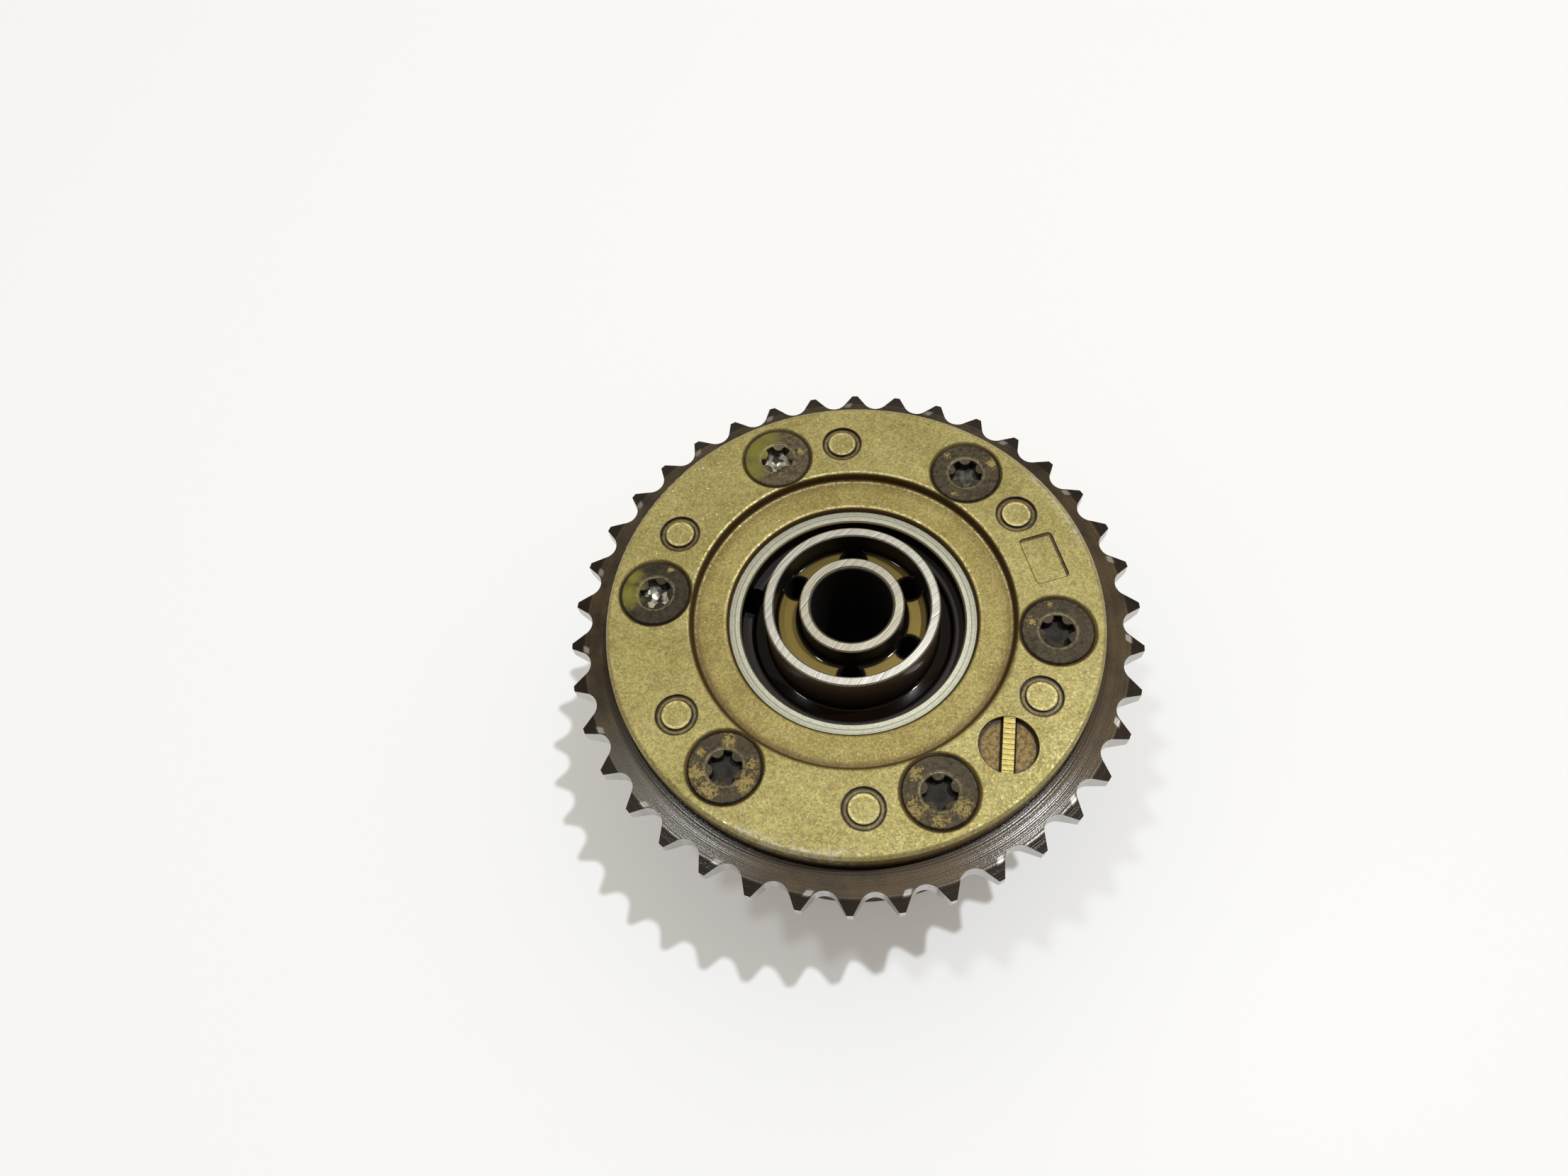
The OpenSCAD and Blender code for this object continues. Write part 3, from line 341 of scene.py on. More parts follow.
    ring_tone = add(tree, "Mix", {0: gold_lip, 6: ring_tone, 7: linear("#C2B26C")}, out=2, data_type="RGBA")
    bore_wall = add(tree, "MapRange", {"Value": z, "From Min": RING_Z - 0.2, "From Max": RING_Z - 0.55})
    ring_tone = add(tree, "Mix", {0: bore_wall, 6: ring_tone, 7: linear("#160F08")}, out=2, data_type="RGBA")

    # Outer wall, brown black at its foot, where it meets the sprocket: painted shade, with some oil
    outer_wall = add(tree, "MapRange", {"Value": radius, "From Min": COVER_R - 0.2, "From Max": COVER_R - 0.1})
    wall_foot = add(tree, "MapRange", {"Value": z, "From Min": COVER_TOP - 2, "From Max": COVER_TOP - 4})
    wall_foot_shade = add(tree, "Math", {0: outer_wall, 1: wall_foot}, operation="MULTIPLY")
    wall_stain = add(tree, "MapRange", {"Value": z, "From Min": COVER_TOP - 0.4, "From Max": COVER_TOP - 1.4,
                                        "To Max": 0.75})
    wall_stain = add(tree, "Math", {0: outer_wall, 1: wall_stain}, operation="MULTIPLY")
    stain = add(tree, "Mix", {0: wall_stain, 6: stain, 7: linear("#7E5F22")}, out=2, data_type="RGBA")

    # Painted shade in the corners, which lie in the shade of their walls, with some grime
    shade = add(tree, "AmbientOcclusion", {"Distance": 1.4 * MM}, out="AO", samples=8)
    corner_shade_and_grime = add(tree, "MapRange", {"Value": shade, "From Min": 0.78, "From Max": 0.4, "To Max": 0.9})
    corner_shade_and_grime = add(tree, "Math", {0: corner_shade_and_grime, 1: wall_foot_shade}, operation="MAXIMUM")

    colour = add(tree, "Mix", {0: bare_rim_and_highlight, 6: stain, 7: linear("#AFAC98")}, out=2, data_type="RGBA")
    colour = add(tree, "Mix", {0: corner_shade_and_grime, 6: colour, 7: linear("#2A1A0B")}, out=2, data_type="RGBA")
    colour = add(tree, "Mix", {0: ring, 6: colour, 7: ring_tone}, out=2, data_type="RGBA")

    roughness = add(tree, "MapRange", {"Value": grain_turn, "To Min": 0.42, "To Max": 0.62})
    roughness = add(tree, "Mix", {0: glitter, 2: roughness, 3: 0.22}, data_type="FLOAT")
    roughness = add(tree, "Mix", {0: ring, 2: roughness, 3: 0.5}, data_type="FLOAT")
    metal = add(tree, "Mix", {0: ring, 2: 0.45, 3: 1.0}, data_type="FLOAT")
    metal = add(tree, "Mix", {0: corner_shade_and_grime, 2: metal, 3: 0.2}, data_type="FLOAT")

    relief = add(tree, "Math", {0: grain_tone, 1: grain_tilt}, operation="ADD")
    relief = add(tree, "Mix", {0: ring, 2: relief, 3: tool_marks}, data_type="FLOAT")
    rounded = add(tree, "Bevel", {"Radius": 0.12 * MM}, samples=4)
    bump = add(tree, "Bump", {"Strength": 0.35, "Distance": 0.06 * MM, "Height": relief, "Normal": rounded})
    surface(tree, Base_Color=colour, Metallic=metal, Roughness=roughness, Normal=bump)
    return material


def sintered_steel():
    """Sintered, steam-treated steel under an oil film: dark brown with the film's silver sheen over turned rings,
    greyer on the near left with a painted sheen, with bevels painted darker as shade, painted shade under the cover's
    edge, bright flanks where the chain runs and a rubbed flat at every second tooth."""
    material, tree = new_material("sintered_steel_oiled")
    point, _, radius, _, degrees = part_place(tree)
    normal_z = add(tree, "SeparateXYZ", {0: add(tree, "TexCoord", out="Normal")}, out=2)

    clouds = add(tree, "TexNoise", {"Vector": point, "Scale": 1 / 6, "Detail": 5.0, "Roughness": 0.6})
    clouds = add(tree, "MapRange", {"Value": clouds, "From Min": 0.35, "From Max": 0.65})
    colour = add(tree, "Mix", {0: clouds, 6: linear("#261E13"), 7: linear("#423522")}, out=2, data_type="RGBA")

    # Turned rings, 0.3 mm apart, and the grain of the sintered powder, 0.25 mm, both drawn coarser so that they show
    turned = add(tree, "TexNoise", {"W": add(tree, "Math", {0: radius, 1: 1 / 0.3}, operation="MULTIPLY"),
                                    "Scale": 1.0, "Detail": 2.0}, noise_dimensions="1D")
    grain = add(tree, "TexNoise", {"Vector": point, "Scale": 1 / 0.25, "Detail": 2.0})
    turned_light = add(tree, "MapRange", {"Value": turned, "From Min": 0.3, "From Max": 0.7,
                                          "To Min": 0.7, "To Max": 1.3})
    colour = add(tree, "VectorMath", {0: colour, "Scale": turned_light}, operation="SCALE")

    # Greyer on the near left: a painted sheen, where the fill lamp's reflection falls
    left_painted_sheen = between(tree, degrees, -152.0, -122.0, 12.0)
    left_painted_sheen = add(tree, "Math", {0: left_painted_sheen, 1: 0.6}, operation="MULTIPLY")
    colour = add(tree, "Mix", {0: left_painted_sheen, 6: colour, 7: linear("#5C5A52")}, out=2, data_type="RGBA")
    speckle = add(tree, "MapRange", {"Value": grain, "From Min": 0.3, "From Max": 0.7, "To Min": 0.7, "To Max": 1.3})
    colour = add(tree, "VectorMath", {0: colour, "Scale": speckle}, operation="SCALE")

    # Bevelled sides of the teeth painted darker: painted shade, for the dark that these outward-facing faces reflect
    bevel = add(tree, "MapRange", {"Value": radius, "From Min": BEVEL_R - 0.1, "From Max": BEVEL_R + 0.1,
                                   "To Max": 0.8})
    colour = add(tree, "Mix", {0: bevel, 6: colour, 7: linear("#231C17")}, out=2, data_type="RGBA")

    # Flanks, polished by the chain's rollers
    steep = add(tree, "Math", {0: normal_z}, operation="ABSOLUTE")
    steep = add(tree, "Math", {0: steep, 1: 0.3}, operation="LESS_THAN")
    toothed = add(tree, "Math", {0: radius, 1: TOOTH_FOOT_R}, operation="GREATER_THAN")
    flank = add(tree, "Math", {0: steep, 1: toothed}, operation="MULTIPLY")
    colour = add(tree, "Mix", {0: flank, 6: colour, 7: linear("#B4B2AE")}, out=2, data_type="RGBA")

    # Rubbed flats beside every second tooth
    step = add(tree, "Math", {0: degrees, 1: TOOTH_ANGLE + TOOTH_PITCH + 1.5}, operation="SUBTRACT")
    step = add(tree, "Math", {0: step, 1: TOOTH_PITCH, 2: -TOOTH_PITCH}, operation="WRAP")
    lean = add(tree, "Math", {0: radius, 1: FLAT_R}, operation="SUBTRACT")
    step = add(tree, "Math", {0: lean, 1: 0.7, 2: step}, operation="MULTIPLY_ADD")
    across = between(tree, step, -0.65, 0.65, 0.25)
    along = between(tree, lean, -0.45, 0.5, 0.2)
    upper = add(tree, "Math", {0: normal_z, 1: 0.4}, operation="GREATER_THAN")
    flat = add(tree, "Math", {0: across, 1: along}, operation="MULTIPLY")
    flat = add(tree, "Math", {0: flat, 1: upper}, operation="MULTIPLY")
    colour = add(tree, "Mix", {0: flat, 6: colour, 7: linear("#8E8A85")}, out=2, data_type="RGBA")

    # Painted shade under the cover's edge, with some oil
    shade = add(tree, "AmbientOcclusion", {"Distance": 3 * MM}, out="AO", samples=8)
    oil = add(tree, "MapRange", {"Value": shade, "From Min": 0.85, "From Max": 0.45, "To Max": 0.9})
    colour = add(tree, "Mix", {0: oil, 6: colour, 7: linear("#1A120C")}, out=2, data_type="RGBA")

    rubbed_and_bright = add(tree, "Math", {0: flank, 1: flat}, operation="MAXIMUM")
    roughness = add(tree, "MapRange", {"Value": clouds, "To Min": 0.42, "To Max": 0.55})
    roughness = add(tree, "Mix", {0: rubbed_and_bright, 2: roughness, 3: 0.26}, data_type="FLOAT")

    # Oil film, which leaves the bevels and the rubbed places and is thinner at both sides of the part
    film = add(tree, "Math", {0: bevel, 1: 0.8, 2: rubbed_and_bright}, operation="MULTIPLY_ADD", use_clamp=True)
    film = add(tree, "MapRange", {"Value": film, "To Min": 0.8, "To Max": 0.0})
    turn = add(tree, "Math", {0: add(tree, "Math", {0: degrees}, operation="RADIANS")}, operation="COSINE")
    thin_right = add(tree, "MapRange", {"Value": turn, "From Min": 0.45, "From Max": 0.8,
                                        "To Min": 1.0, "To Max": 0.35})
    thin_left = add(tree, "MapRange", {"Value": turn, "From Min": -0.85, "From Max": -0.99,
                                       "To Min": 1.0, "To Max": 0.4})
    film = add(tree, "Math", {0: film, 1: thin_right}, operation="MULTIPLY")
    film = add(tree, "Math", {0: film, 1: thin_left}, operation="MULTIPLY")

    rounded = add(tree, "Bevel", {"Radius": 0.15 * MM}, samples=4)
    relief = add(tree, "Math", {0: turned, 1: grain}, operation="ADD")
    bump = add(tree, "Bump", {"Strength": 0.35, "Distance": 0.03 * MM, "Height": relief, "Normal": rounded})
    film_relief = add(tree, "Math", {0: grain, 1: 0.25, 2: turned}, operation="MULTIPLY_ADD")
    film_bump = add(tree, "Bump", {"Strength": 0.9, "Distance": 0.06 * MM, "Height": film_relief, "Normal": rounded})
    surface(tree, Base_Color=colour, Metallic=0.85, Roughness=roughness, Normal=bump, Coat_Weight=film,
            Coat_Roughness=0.17, Coat_IOR=1.47, Coat_Normal=film_bump)
    return material


def phosphated_steel():
    """Phosphated steel screws, tightened and oiled: a dull, mottled brown black, with gold oil residue caked on some of
    the heads, a green gold film on others, and bare metal in the sockets, with painted shade in the sockets, their
    corners and at the edge of each head, and a painted highlight round each lead-in."""
    material, tree = new_material("phosphated_steel_oil_residue")
    point, level_place, radius, z, degrees = part_place(tree)
    from_middle = from_nearest(tree, radius, degrees, SCREW_ANGLE)

    mottle = add(tree, "TexNoise", {"Vector": point, "Scale": 1 / 0.8, "Detail": 6.0, "Roughness": 0.85})
    mottle = add(tree, "MapRange", {"Value": mottle, "From Min": 0.36, "From Max": 0.66})
    colour = add(tree, "Mix", {0: mottle, 6: linear("#1E1912"), 7: linear("#635843")}, out=2, data_type="RGBA")

    # Residue: where each spot lies on its head, how bare each socket is and how light its head
    masks = {"gold": 0.0, "green": 0.0}
    bare, light = 0.0, 0.0
    for k, spots in enumerate(SCREW_SPOTS):
        middle = on_circle(SCREW_ANGLE + 60 * k)
        here = add(tree, "VectorMath", {0: level_place, 1: middle}, out="Value", operation="DISTANCE")
        here = add(tree, "Math", {0: here, 1: HEAD_R + 0.8}, operation="LESS_THAN")
        share = add(tree, "Math", {0: here, 1: BARE_SOCKETS[k]}, operation="MULTIPLY")
        bare = add(tree, "Math", {0: bare, 1: share}, operation="MAXIMUM")
        share = add(tree, "Math", {0: here, 1: HEAD_LIGHTNESS[k]}, operation="MULTIPLY")
        light = add(tree, "Math", {0: light, 1: share}, operation="MAXIMUM")
        for kind, turn, out_mm, size in spots:
            aside = on_circle(turn, out_mm)
            place = (middle[0] + aside[0], middle[1] + aside[1], 0.0)
            spot = add(tree, "VectorMath", {0: level_place, 1: place}, out="Value", operation="DISTANCE")
            spot = add(tree, "MapRange", {"Value": spot, "From Min": 1.9 * size, "From Max": 0.3 * size})
            masks[kind] = add(tree, "Math", {0: masks[kind], 1: spot}, operation="MAXIMUM")
    colour = add(tree, "VectorMath", {0: colour, "Scale": light}, operation="SCALE")

    # Green gold film
    streaks = add(tree, "TexNoise", {"Vector": point, "Scale": 1 / 1.2, "Detail": 6.0, "Roughness": 0.75})
    film = add(tree, "Math", {0: masks["green"], 1: 0.75, 2: streaks}, operation="MULTIPLY_ADD")
    film = add(tree, "MapRange", {"Value": film, "From Min": 0.5, "From Max": 1.35, "To Max": 0.95},
               interpolation_type="SMOOTHSTEP")
    colour = add(tree, "Mix", {0: film, 6: colour, 7: linear("#706C2B")}, out=2, data_type="RGBA")

    # Caked residue in ragged patches, only on the flat of the head
    patches = add(tree, "TexNoise", {"Vector": point, "Scale": 1 / 0.6, "Detail": 8.0, "Roughness": 0.8})
    patches = add(tree, "Math", {0: masks["gold"], 1: 0.22, 2: patches}, operation="MULTIPLY_ADD")
    patches = add(tree, "MapRange", {"Value": patches, "From Min": 0.65, "From Max": 0.69, "To Max": 0.95})
    worn_off = add(tree, "MapRange", {"Value": mottle, "To Min": 1.0, "To Max": 0.6})
    patches = add(tree, "Math", {0: patches, 1: worn_off}, operation="MULTIPLY")
    level_top = add(tree, "MapRange", {"Value": z, "From Min": HEAD_TOP - 0.55, "From Max": HEAD_TOP - 0.15})
    patches = add(tree, "Math", {0: patches, 1: level_top}, operation="MULTIPLY")
    inner = add(tree, "MapRange", {"Value": from_middle, "From Min": HEAD_R - 0.15, "From Max": HEAD_R - 0.45})
    patches = add(tree, "Math", {0: patches, 1: inner}, operation="MULTIPLY")
    colour = add(tree, "Mix", {0: patches, 6: colour, 7: linear("#A08C52")}, out=2, data_type="RGBA")

    # Dark edge of the head and of the socket, painted shade beside the gap round the head, with a rubbed line round the
    # lead-in that is partly a painted highlight
    head_edge_shade = between(tree, from_middle, HEAD_R - 0.22, HEAD_R + 0.4, 0.1)
    head_edge_shade = add(tree, "Math", {0: head_edge_shade, 1: 0.2}, operation="MULTIPLY")
    colour = add(tree, "Mix", {0: head_edge_shade, 6: colour, 7: linear("#1D1710")}, out=2, data_type="RGBA")
    rubbed_lead_in_highlight = between(tree, from_middle, DISH_R - 0.25, DISH_R + 0.1, 0.08)
    rubbed_lead_in_highlight = add(tree, "Math", {0: rubbed_lead_in_highlight, 1: mottle}, operation="MULTIPLY")
    rubbed_lead_in_highlight = add(tree, "Math", {0: rubbed_lead_in_highlight, 1: 0.8}, operation="MULTIPLY")
    colour = add(tree, "Mix", {0: rubbed_lead_in_highlight, 6: colour, 7: linear("#A09272")}, out=2, data_type="RGBA")

    # Sockets with black walls and floors, painted shade inside them, some of them rubbed bare and shiny on their open
    # floors
    socket = add(tree, "MapRange", {"Value": z, "From Min": HEAD_TOP - 0.45, "From Max": HEAD_TOP - 0.85,
                                    "To Max": 0.85})
    colour = add(tree, "Mix", {0: socket, 6: colour, 7: linear("#1B1713")}, out=2, data_type="RGBA")
    sunken = add(tree, "MapRange", {"Value": z, "From Min": SOCKET_FLOOR + 0.95, "From Max": SOCKET_FLOOR + 0.25})
    scuffs = add(tree, "TexNoise", {"Vector": point, "Scale": 1 / 1.5, "Detail": 1.0})
    scuffs = add(tree, "MapRange", {"Value": scuffs, "From Min": 0.4, "From Max": 0.58})
    shine = add(tree, "Math", {0: sunken, 1: bare}, operation="MULTIPLY")
    shine = add(tree, "Math", {0: shine, 1: scuffs}, operation="MULTIPLY")
    shade = add(tree, "AmbientOcclusion", {"Distance": 1.5 * MM}, out="AO", samples=8)
    open_floor = add(tree, "MapRange", {"Value": shade, "From Min": 0.3, "From Max": 0.5})
    shine = add(tree, "Math", {0: shine, 1: open_floor}, operation="MULTIPLY")
    colour = add(tree, "Mix", {0: shine, 6: colour, 7: linear("#CFCAB8")}, out=2, data_type="RGBA")

    # Painted shade, darker still, in the corners on the head, most of all in the sockets
    screw_corner_shade = add(tree, "MapRange", {"Value": shade, "From Min": 0.7, "From Max": 0.3, "To Max": 0.85})
    screw_corner_shade = add(tree, "Math", {0: screw_corner_shade, 1: shine}, operation="SUBTRACT", use_clamp=True)
    screw_corner_shade = add(tree, "Math", {0: screw_corner_shade, 1: inner}, operation="MULTIPLY")
    colour = add(tree, "Mix", {0: screw_corner_shade, 6: colour, 7: linear("#100D0A")}, out=2, data_type="RGBA")
    dull = add(tree, "Math", {0: socket, 1: shine}, operation="SUBTRACT")
    dull = add(tree, "Math", {0: patches, 1: dull}, operation="MAXIMUM")
    metal = add(tree, "Mix", {0: dull, 2: 0.75, 3: 0.15}, data_type="FLOAT")
    roughness = add(tree, "MapRange", {"Value": mottle, "To Min": 0.34, "To Max": 0.55})
    roughness = add(tree, "Mix", {0: dull, 2: roughness, 3: 0.75}, data_type="FLOAT")
    roughness = add(tree, "Mix", {0: shine, 2: roughness, 3: 0.2}, data_type="FLOAT")
    rounded = add(tree, "Bevel", {"Radius": 0.15 * MM}, samples=4)
    relief = add(tree, "Math", {0: patches, 1: mottle}, operation="ADD")
    smooth = add(tree, "MapRange", {"Value": socket, "To Min": 0.5, "To Max": 0.05})
    bump = add(tree, "Bump", {"Strength": smooth, "Distance": 0.06 * MM, "Height": relief, "Normal": rounded})
    surface(tree, Base_Color=colour, Metallic=metal, Roughness=roughness, Normal=bump)
    return material


def ground_rotor_steel():
    """Steel rotor: light ends with the arcs of a grinding cup, dark polished walls under an oil film, a turned gold
    floor in the oil groove and a dark oily face."""
    material, tree = new_material("ground_steel_oiled")
    point, level_place, radius, z, _ = part_place(tree)
    normal_z = add(tree, "SeparateXYZ", {0: add(tree, "TexCoord", out="Normal")}, out=2)
    upward = add(tree, "Math", {0: normal_z, 1: 0.6}, operation="GREATER_THAN")

    clouds = add(tree, "TexNoise", {"Vector": point, "Scale": 1 / 5, "Detail": 4.0})
    clouds = add(tree, "MapRange", {"Value": clouds, "From Min": 0.35, "From Max": 0.65})
    colour = add(tree, "Mix", {0: clouds, 6: linear("#4A4036"), 7: linear("#6B6156")}, out=2, data_type="RGBA")

    # Walls of the hub's rings and of the grooves, brown black and lighter toward the ends
    hub = add(tree, "MapRange", {"Value": radius, "From Min": MOAT_R + 0.15, "From Max": MOAT_R - 0.05})
    hub_up = add(tree, "MapRange", {"Value": z, "From Min": 30.0, "From Max": 34.0})
    hub = add(tree, "Math", {0: hub, 1: hub_up}, operation="MULTIPLY")
    wall_rise = add(tree, "MapRange", {"Value": z, "From Min": ROTOR_FACE + 0.05, "From Max": HUB_END - 0.7})
    wall_tone = add(tree, "Mix", {0: wall_rise, 6: linear("#33261E"), 7: linear("#7A6757")}, out=2, data_type="RGBA")
    groove_wall = add(tree, "MapRange", {"Value": radius, "From Min": HUB_BORE_R + 0.9, "From Max": HUB_BORE_R + 0.6})
    wall_tone = add(tree, "Mix", {0: groove_wall, 6: wall_tone, 7: linear("#0C0806")}, out=2, data_type="RGBA")
    colour = add(tree, "Mix", {0: hub, 6: colour, 7: wall_tone}, out=2, data_type="RGBA")

    # Rotor face round the hub, dark
    face = add(tree, "MapRange", {"Value": z, "From Min": ROTOR_FACE - 0.75, "From Max": ROTOR_FACE - 0.45})
    outer = add(tree, "Math", {0: radius, 1: MOAT_R - 0.25}, operation="GREATER_THAN")
    face = add(tree, "Math", {0: face, 1: outer}, operation="MULTIPLY")
    colour = add(tree, "Mix", {0: face, 6: colour, 7: linear("#1B1412")}, out=2, data_type="RGBA")

    # Turned floor of the oil groove, gold with varnish
    turned = add(tree, "TexNoise", {"W": add(tree, "Math", {0: radius, 1: 1 / 0.18}, operation="MULTIPLY"),
                                    "Scale": 1.0, "Detail": 2.0}, noise_dimensions="1D")
    in_groove = add(tree, "Math", {0: z, 1: GROOVE_FLOOR, 2: 0.6}, operation="COMPARE")
    groove = add(tree, "Math", {0: in_groove, 1: upward}, operation="MULTIPLY")
    gold = add(tree, "Mix", {0: turned, 6: linear("#564620"), 7: linear("#867642")}, out=2, data_type="RGBA")
    for angle in OIL_HOLES:
        hole = on_circle(angle, OIL_HOLE_R)
        from_hole = add(tree, "VectorMath", {0: level_place, 1: hole}, out="Value", operation="DISTANCE")
        wet = between(tree, from_hole, 0.0, 2.6, 0.15)
        gold = add(tree, "Mix", {0: wet, 6: gold, 7: linear("#0C0806")}, out=2, data_type="RGBA")
    colour = add(tree, "Mix", {0: groove, 6: colour, 7: gold}, out=2, data_type="RGBA")

    # Ground ends, with arcs round a point beside the part as a grinding cup leaves them; the inner ring is browner
    cup = (56.0, -50.0, 0.0)
    from_cup = add(tree, "VectorMath", {0: level_place, 1: cup}, out="Value", operation="DISTANCE")
    smear = add(tree, "TexNoise", {"Vector": point, "Scale": 1 / 4, "Detail": 1.0})
    from_cup = add(tree, "Math", {0: smear, 1: 0.8, 2: from_cup}, operation="MULTIPLY_ADD")
    arcs = add(tree, "TexNoise", {"W": add(tree, "Math", {0: from_cup, 1: 1 / 0.35}, operation="MULTIPLY"),
                                  "Scale": 1.0, "Detail": 3.0, "Roughness": 0.7}, noise_dimensions="1D")
    arcs = add(tree, "MapRange", {"Value": arcs, "From Min": 0.3, "From Max": 0.7})
    ends = add(tree, "MapRange", {"Value": z, "From Min": HUB_END - 0.35, "From Max": HUB_END - 0.15})
    ends = add(tree, "Math", {0: ends, 1: upward}, operation="MULTIPLY")
    ground = add(tree, "Mix", {0: arcs, 6: linear("#9C9A90"), 7: linear("#D2D0C8")}, out=2, data_type="RGBA")
    inner_ring = add(tree, "MapRange", {"Value": radius, "From Min": OIL_HOLE_R, "From Max": OIL_HOLE_R - 0.2,
                                        "To Max": 0.75})
    inner_tone = add(tree, "Mix", {0: arcs, 6: linear("#8B8675"), 7: linear("#C2BDA9")}, out=2, data_type="RGBA")
    ground = add(tree, "Mix", {0: inner_ring, 6: ground, 7: inner_tone}, out=2, data_type="RGBA")
    colour = add(tree, "Mix", {0: ends, 6: colour, 7: ground}, out=2, data_type="RGBA")

    # Bolt bore, oil holes and drain hole, black inside down to the nose: painted shade inside the holes
    bore = add(tree, "Math", {0: radius, 1: BOLT_R + 0.02}, operation="LESS_THAN")
    deep = add(tree, "MapRange", {"Value": z, "From Min": GROOVE_FLOOR - 0.1, "From Max": GROOVE_FLOOR - 0.4})
    deep_hub = add(tree, "Math", {0: radius, 1: HUB_BORE_R + 0.6}, operation="LESS_THAN")
    deep = add(tree, "Math", {0: deep, 1: deep_hub}, operation="MULTIPLY")
    drain = between(tree, radius, 15.5, 22.5, 0.2)
    below_face = add(tree, "MapRange", {"Value": z, "From Min": ROTOR_FACE - 0.65, "From Max": ROTOR_FACE - 0.95})
    drain = add(tree, "Math", {0: drain, 1: below_face}, operation="MULTIPLY")
    deep = add(tree, "Math", {0: deep, 1: drain}, operation="MAXIMUM")
    hole_shade = add(tree, "Math", {0: bore, 1: deep}, operation="MAXIMUM")
    above = add(tree, "Math", {0: z, 1: 12.0}, operation="GREATER_THAN")
    hole_shade = add(tree, "Math", {0: hole_shade, 1: above}, operation="MULTIPLY")
    colour = add(tree, "Mix", {0: hole_shade, 6: colour, 7: linear("#120D0B")}, out=2, data_type="RGBA")

    roughness = add(tree, "Mix", {0: ends, 2: 0.4, 3: 0.34}, data_type="FLOAT")
    roughness = add(tree, "Mix", {0: face, 2: roughness, 3: 0.5}, data_type="FLOAT")
    relief = add(tree, "Mix", {0: groove, 2: arcs, 3: turned}, data_type="FLOAT")
    rounded = add(tree, "Bevel", {"Radius": 0.12 * MM}, samples=4)
    bump = add(tree, "Bump", {"Strength": 0.3, "Distance": 0.03 * MM, "Height": relief, "Normal": rounded})
    bright = add(tree, "Math", {0: ends, 1: groove}, operation="MAXIMUM")
    oily_wall = add(tree, "Math", {0: groove_wall, 1: bright}, operation="SUBTRACT", use_clamp=True)
    metal = add(tree, "Mix", {0: oily_wall, 2: 0.55, 3: 0.05}, data_type="FLOAT")
    metal = add(tree, "Mix", {0: bright, 2: metal, 3: 0.95}, data_type="FLOAT")
    roughness = add(tree, "Mix", {0: oily_wall, 2: roughness, 3: 0.6}, data_type="FLOAT")
    surface(tree, Base_Color=colour, Metallic=metal, Roughness=roughness, Normal=bump)
    return material


def engine_oil():
    """Used engine oil, standing in the grooves: black brown and mirror smooth."""
    material, tree = new_material("used_engine_oil")
    point = millimetres(tree)
    haze = add(tree, "TexNoise", {"Vector": point, "Scale": 1 / 6, "Detail": 2.0})
    roughness = add(tree, "MapRange", {"Value": haze, "To Min": 0.03, "To Max": 0.09})
    surface(tree, Base_Color=linear("#120B07"), Roughness=roughness, IOR=1.47, Specular_IOR_Level=0.18)
    return material


def plain_piece(name, light, dark, roughness, grain_mm, metal=1.0):
    """Finish of the pieces that the photo doesn't show: two tones in clouds, with a fine grain."""
    material, tree = new_material(name)
    point = millimetres(tree)
    clouds = add(tree, "TexNoise", {"Vector": point, "Scale": 1 / 7, "Detail": 4.0})
    clouds = add(tree, "MapRange", {"Value": clouds, "From Min": 0.35, "From Max": 0.65})
    colour = add(tree, "Mix", {0: clouds, 6: linear(dark), 7: linear(light)}, out=2, data_type="RGBA")
    grain = add(tree, "TexNoise", {"Vector": point, "Scale": 1 / grain_mm, "Detail": 2.0})
    rough = add(tree, "MapRange", {"Value": grain, "To Min": roughness - 0.08, "To Max": roughness + 0.08})
    rounded = add(tree, "Bevel", {"Radius": 0.15 * MM}, samples=4)
    bump = add(tree, "Bump", {"Strength": 0.2, "Distance": 0.03 * MM, "Height": grain, "Normal": rounded})
    surface(tree, Base_Color=colour, Metallic=metal, Roughness=rough, Normal=bump)
    return material


def dress(material, *names):
    """Gives CAD nodes a material."""
    for name in names:
        slots = nodes[name].data.materials
        slots.clear()
        slots.append(material)


dress(stained_cast_aluminium(), "camshaft_cover")
dress(sintered_steel(), "sprocket_housing")
dress(plain_piece("die_cast_aluminium_oiled", "#8C8370", "#675C4A", 0.42, 0.3), "front_cover")
dress(phosphated_steel(), "cover_screws")
dress(ground_rotor_steel(), "rotor")
dress(plain_piece("hardened_steel_ground", "#B5B3AE", "#9A9892", 0.28, 0.2),
      "lock_pin", "lock_pin_seat", "lock_pin_cap", "spring_post")
dress(plain_piece("spring_steel_oiled", "#77736B", "#57534B", 0.35, 0.2), "bias_spring", "lock_pin_spring",
      *[f"vane_spring_{k}" for k in range(1, 7)])
dress(plain_piece("stamped_steel_oiled", "#8B8880", "#6F6B63", 0.38, 0.3), "spring_cover")
dress(plain_piece("seal_plastic", "#2B2A28", "#1F1E1D", 0.5, 0.2, 0.0), *[f"vane_seal_{k}" for k in range(1, 7)])


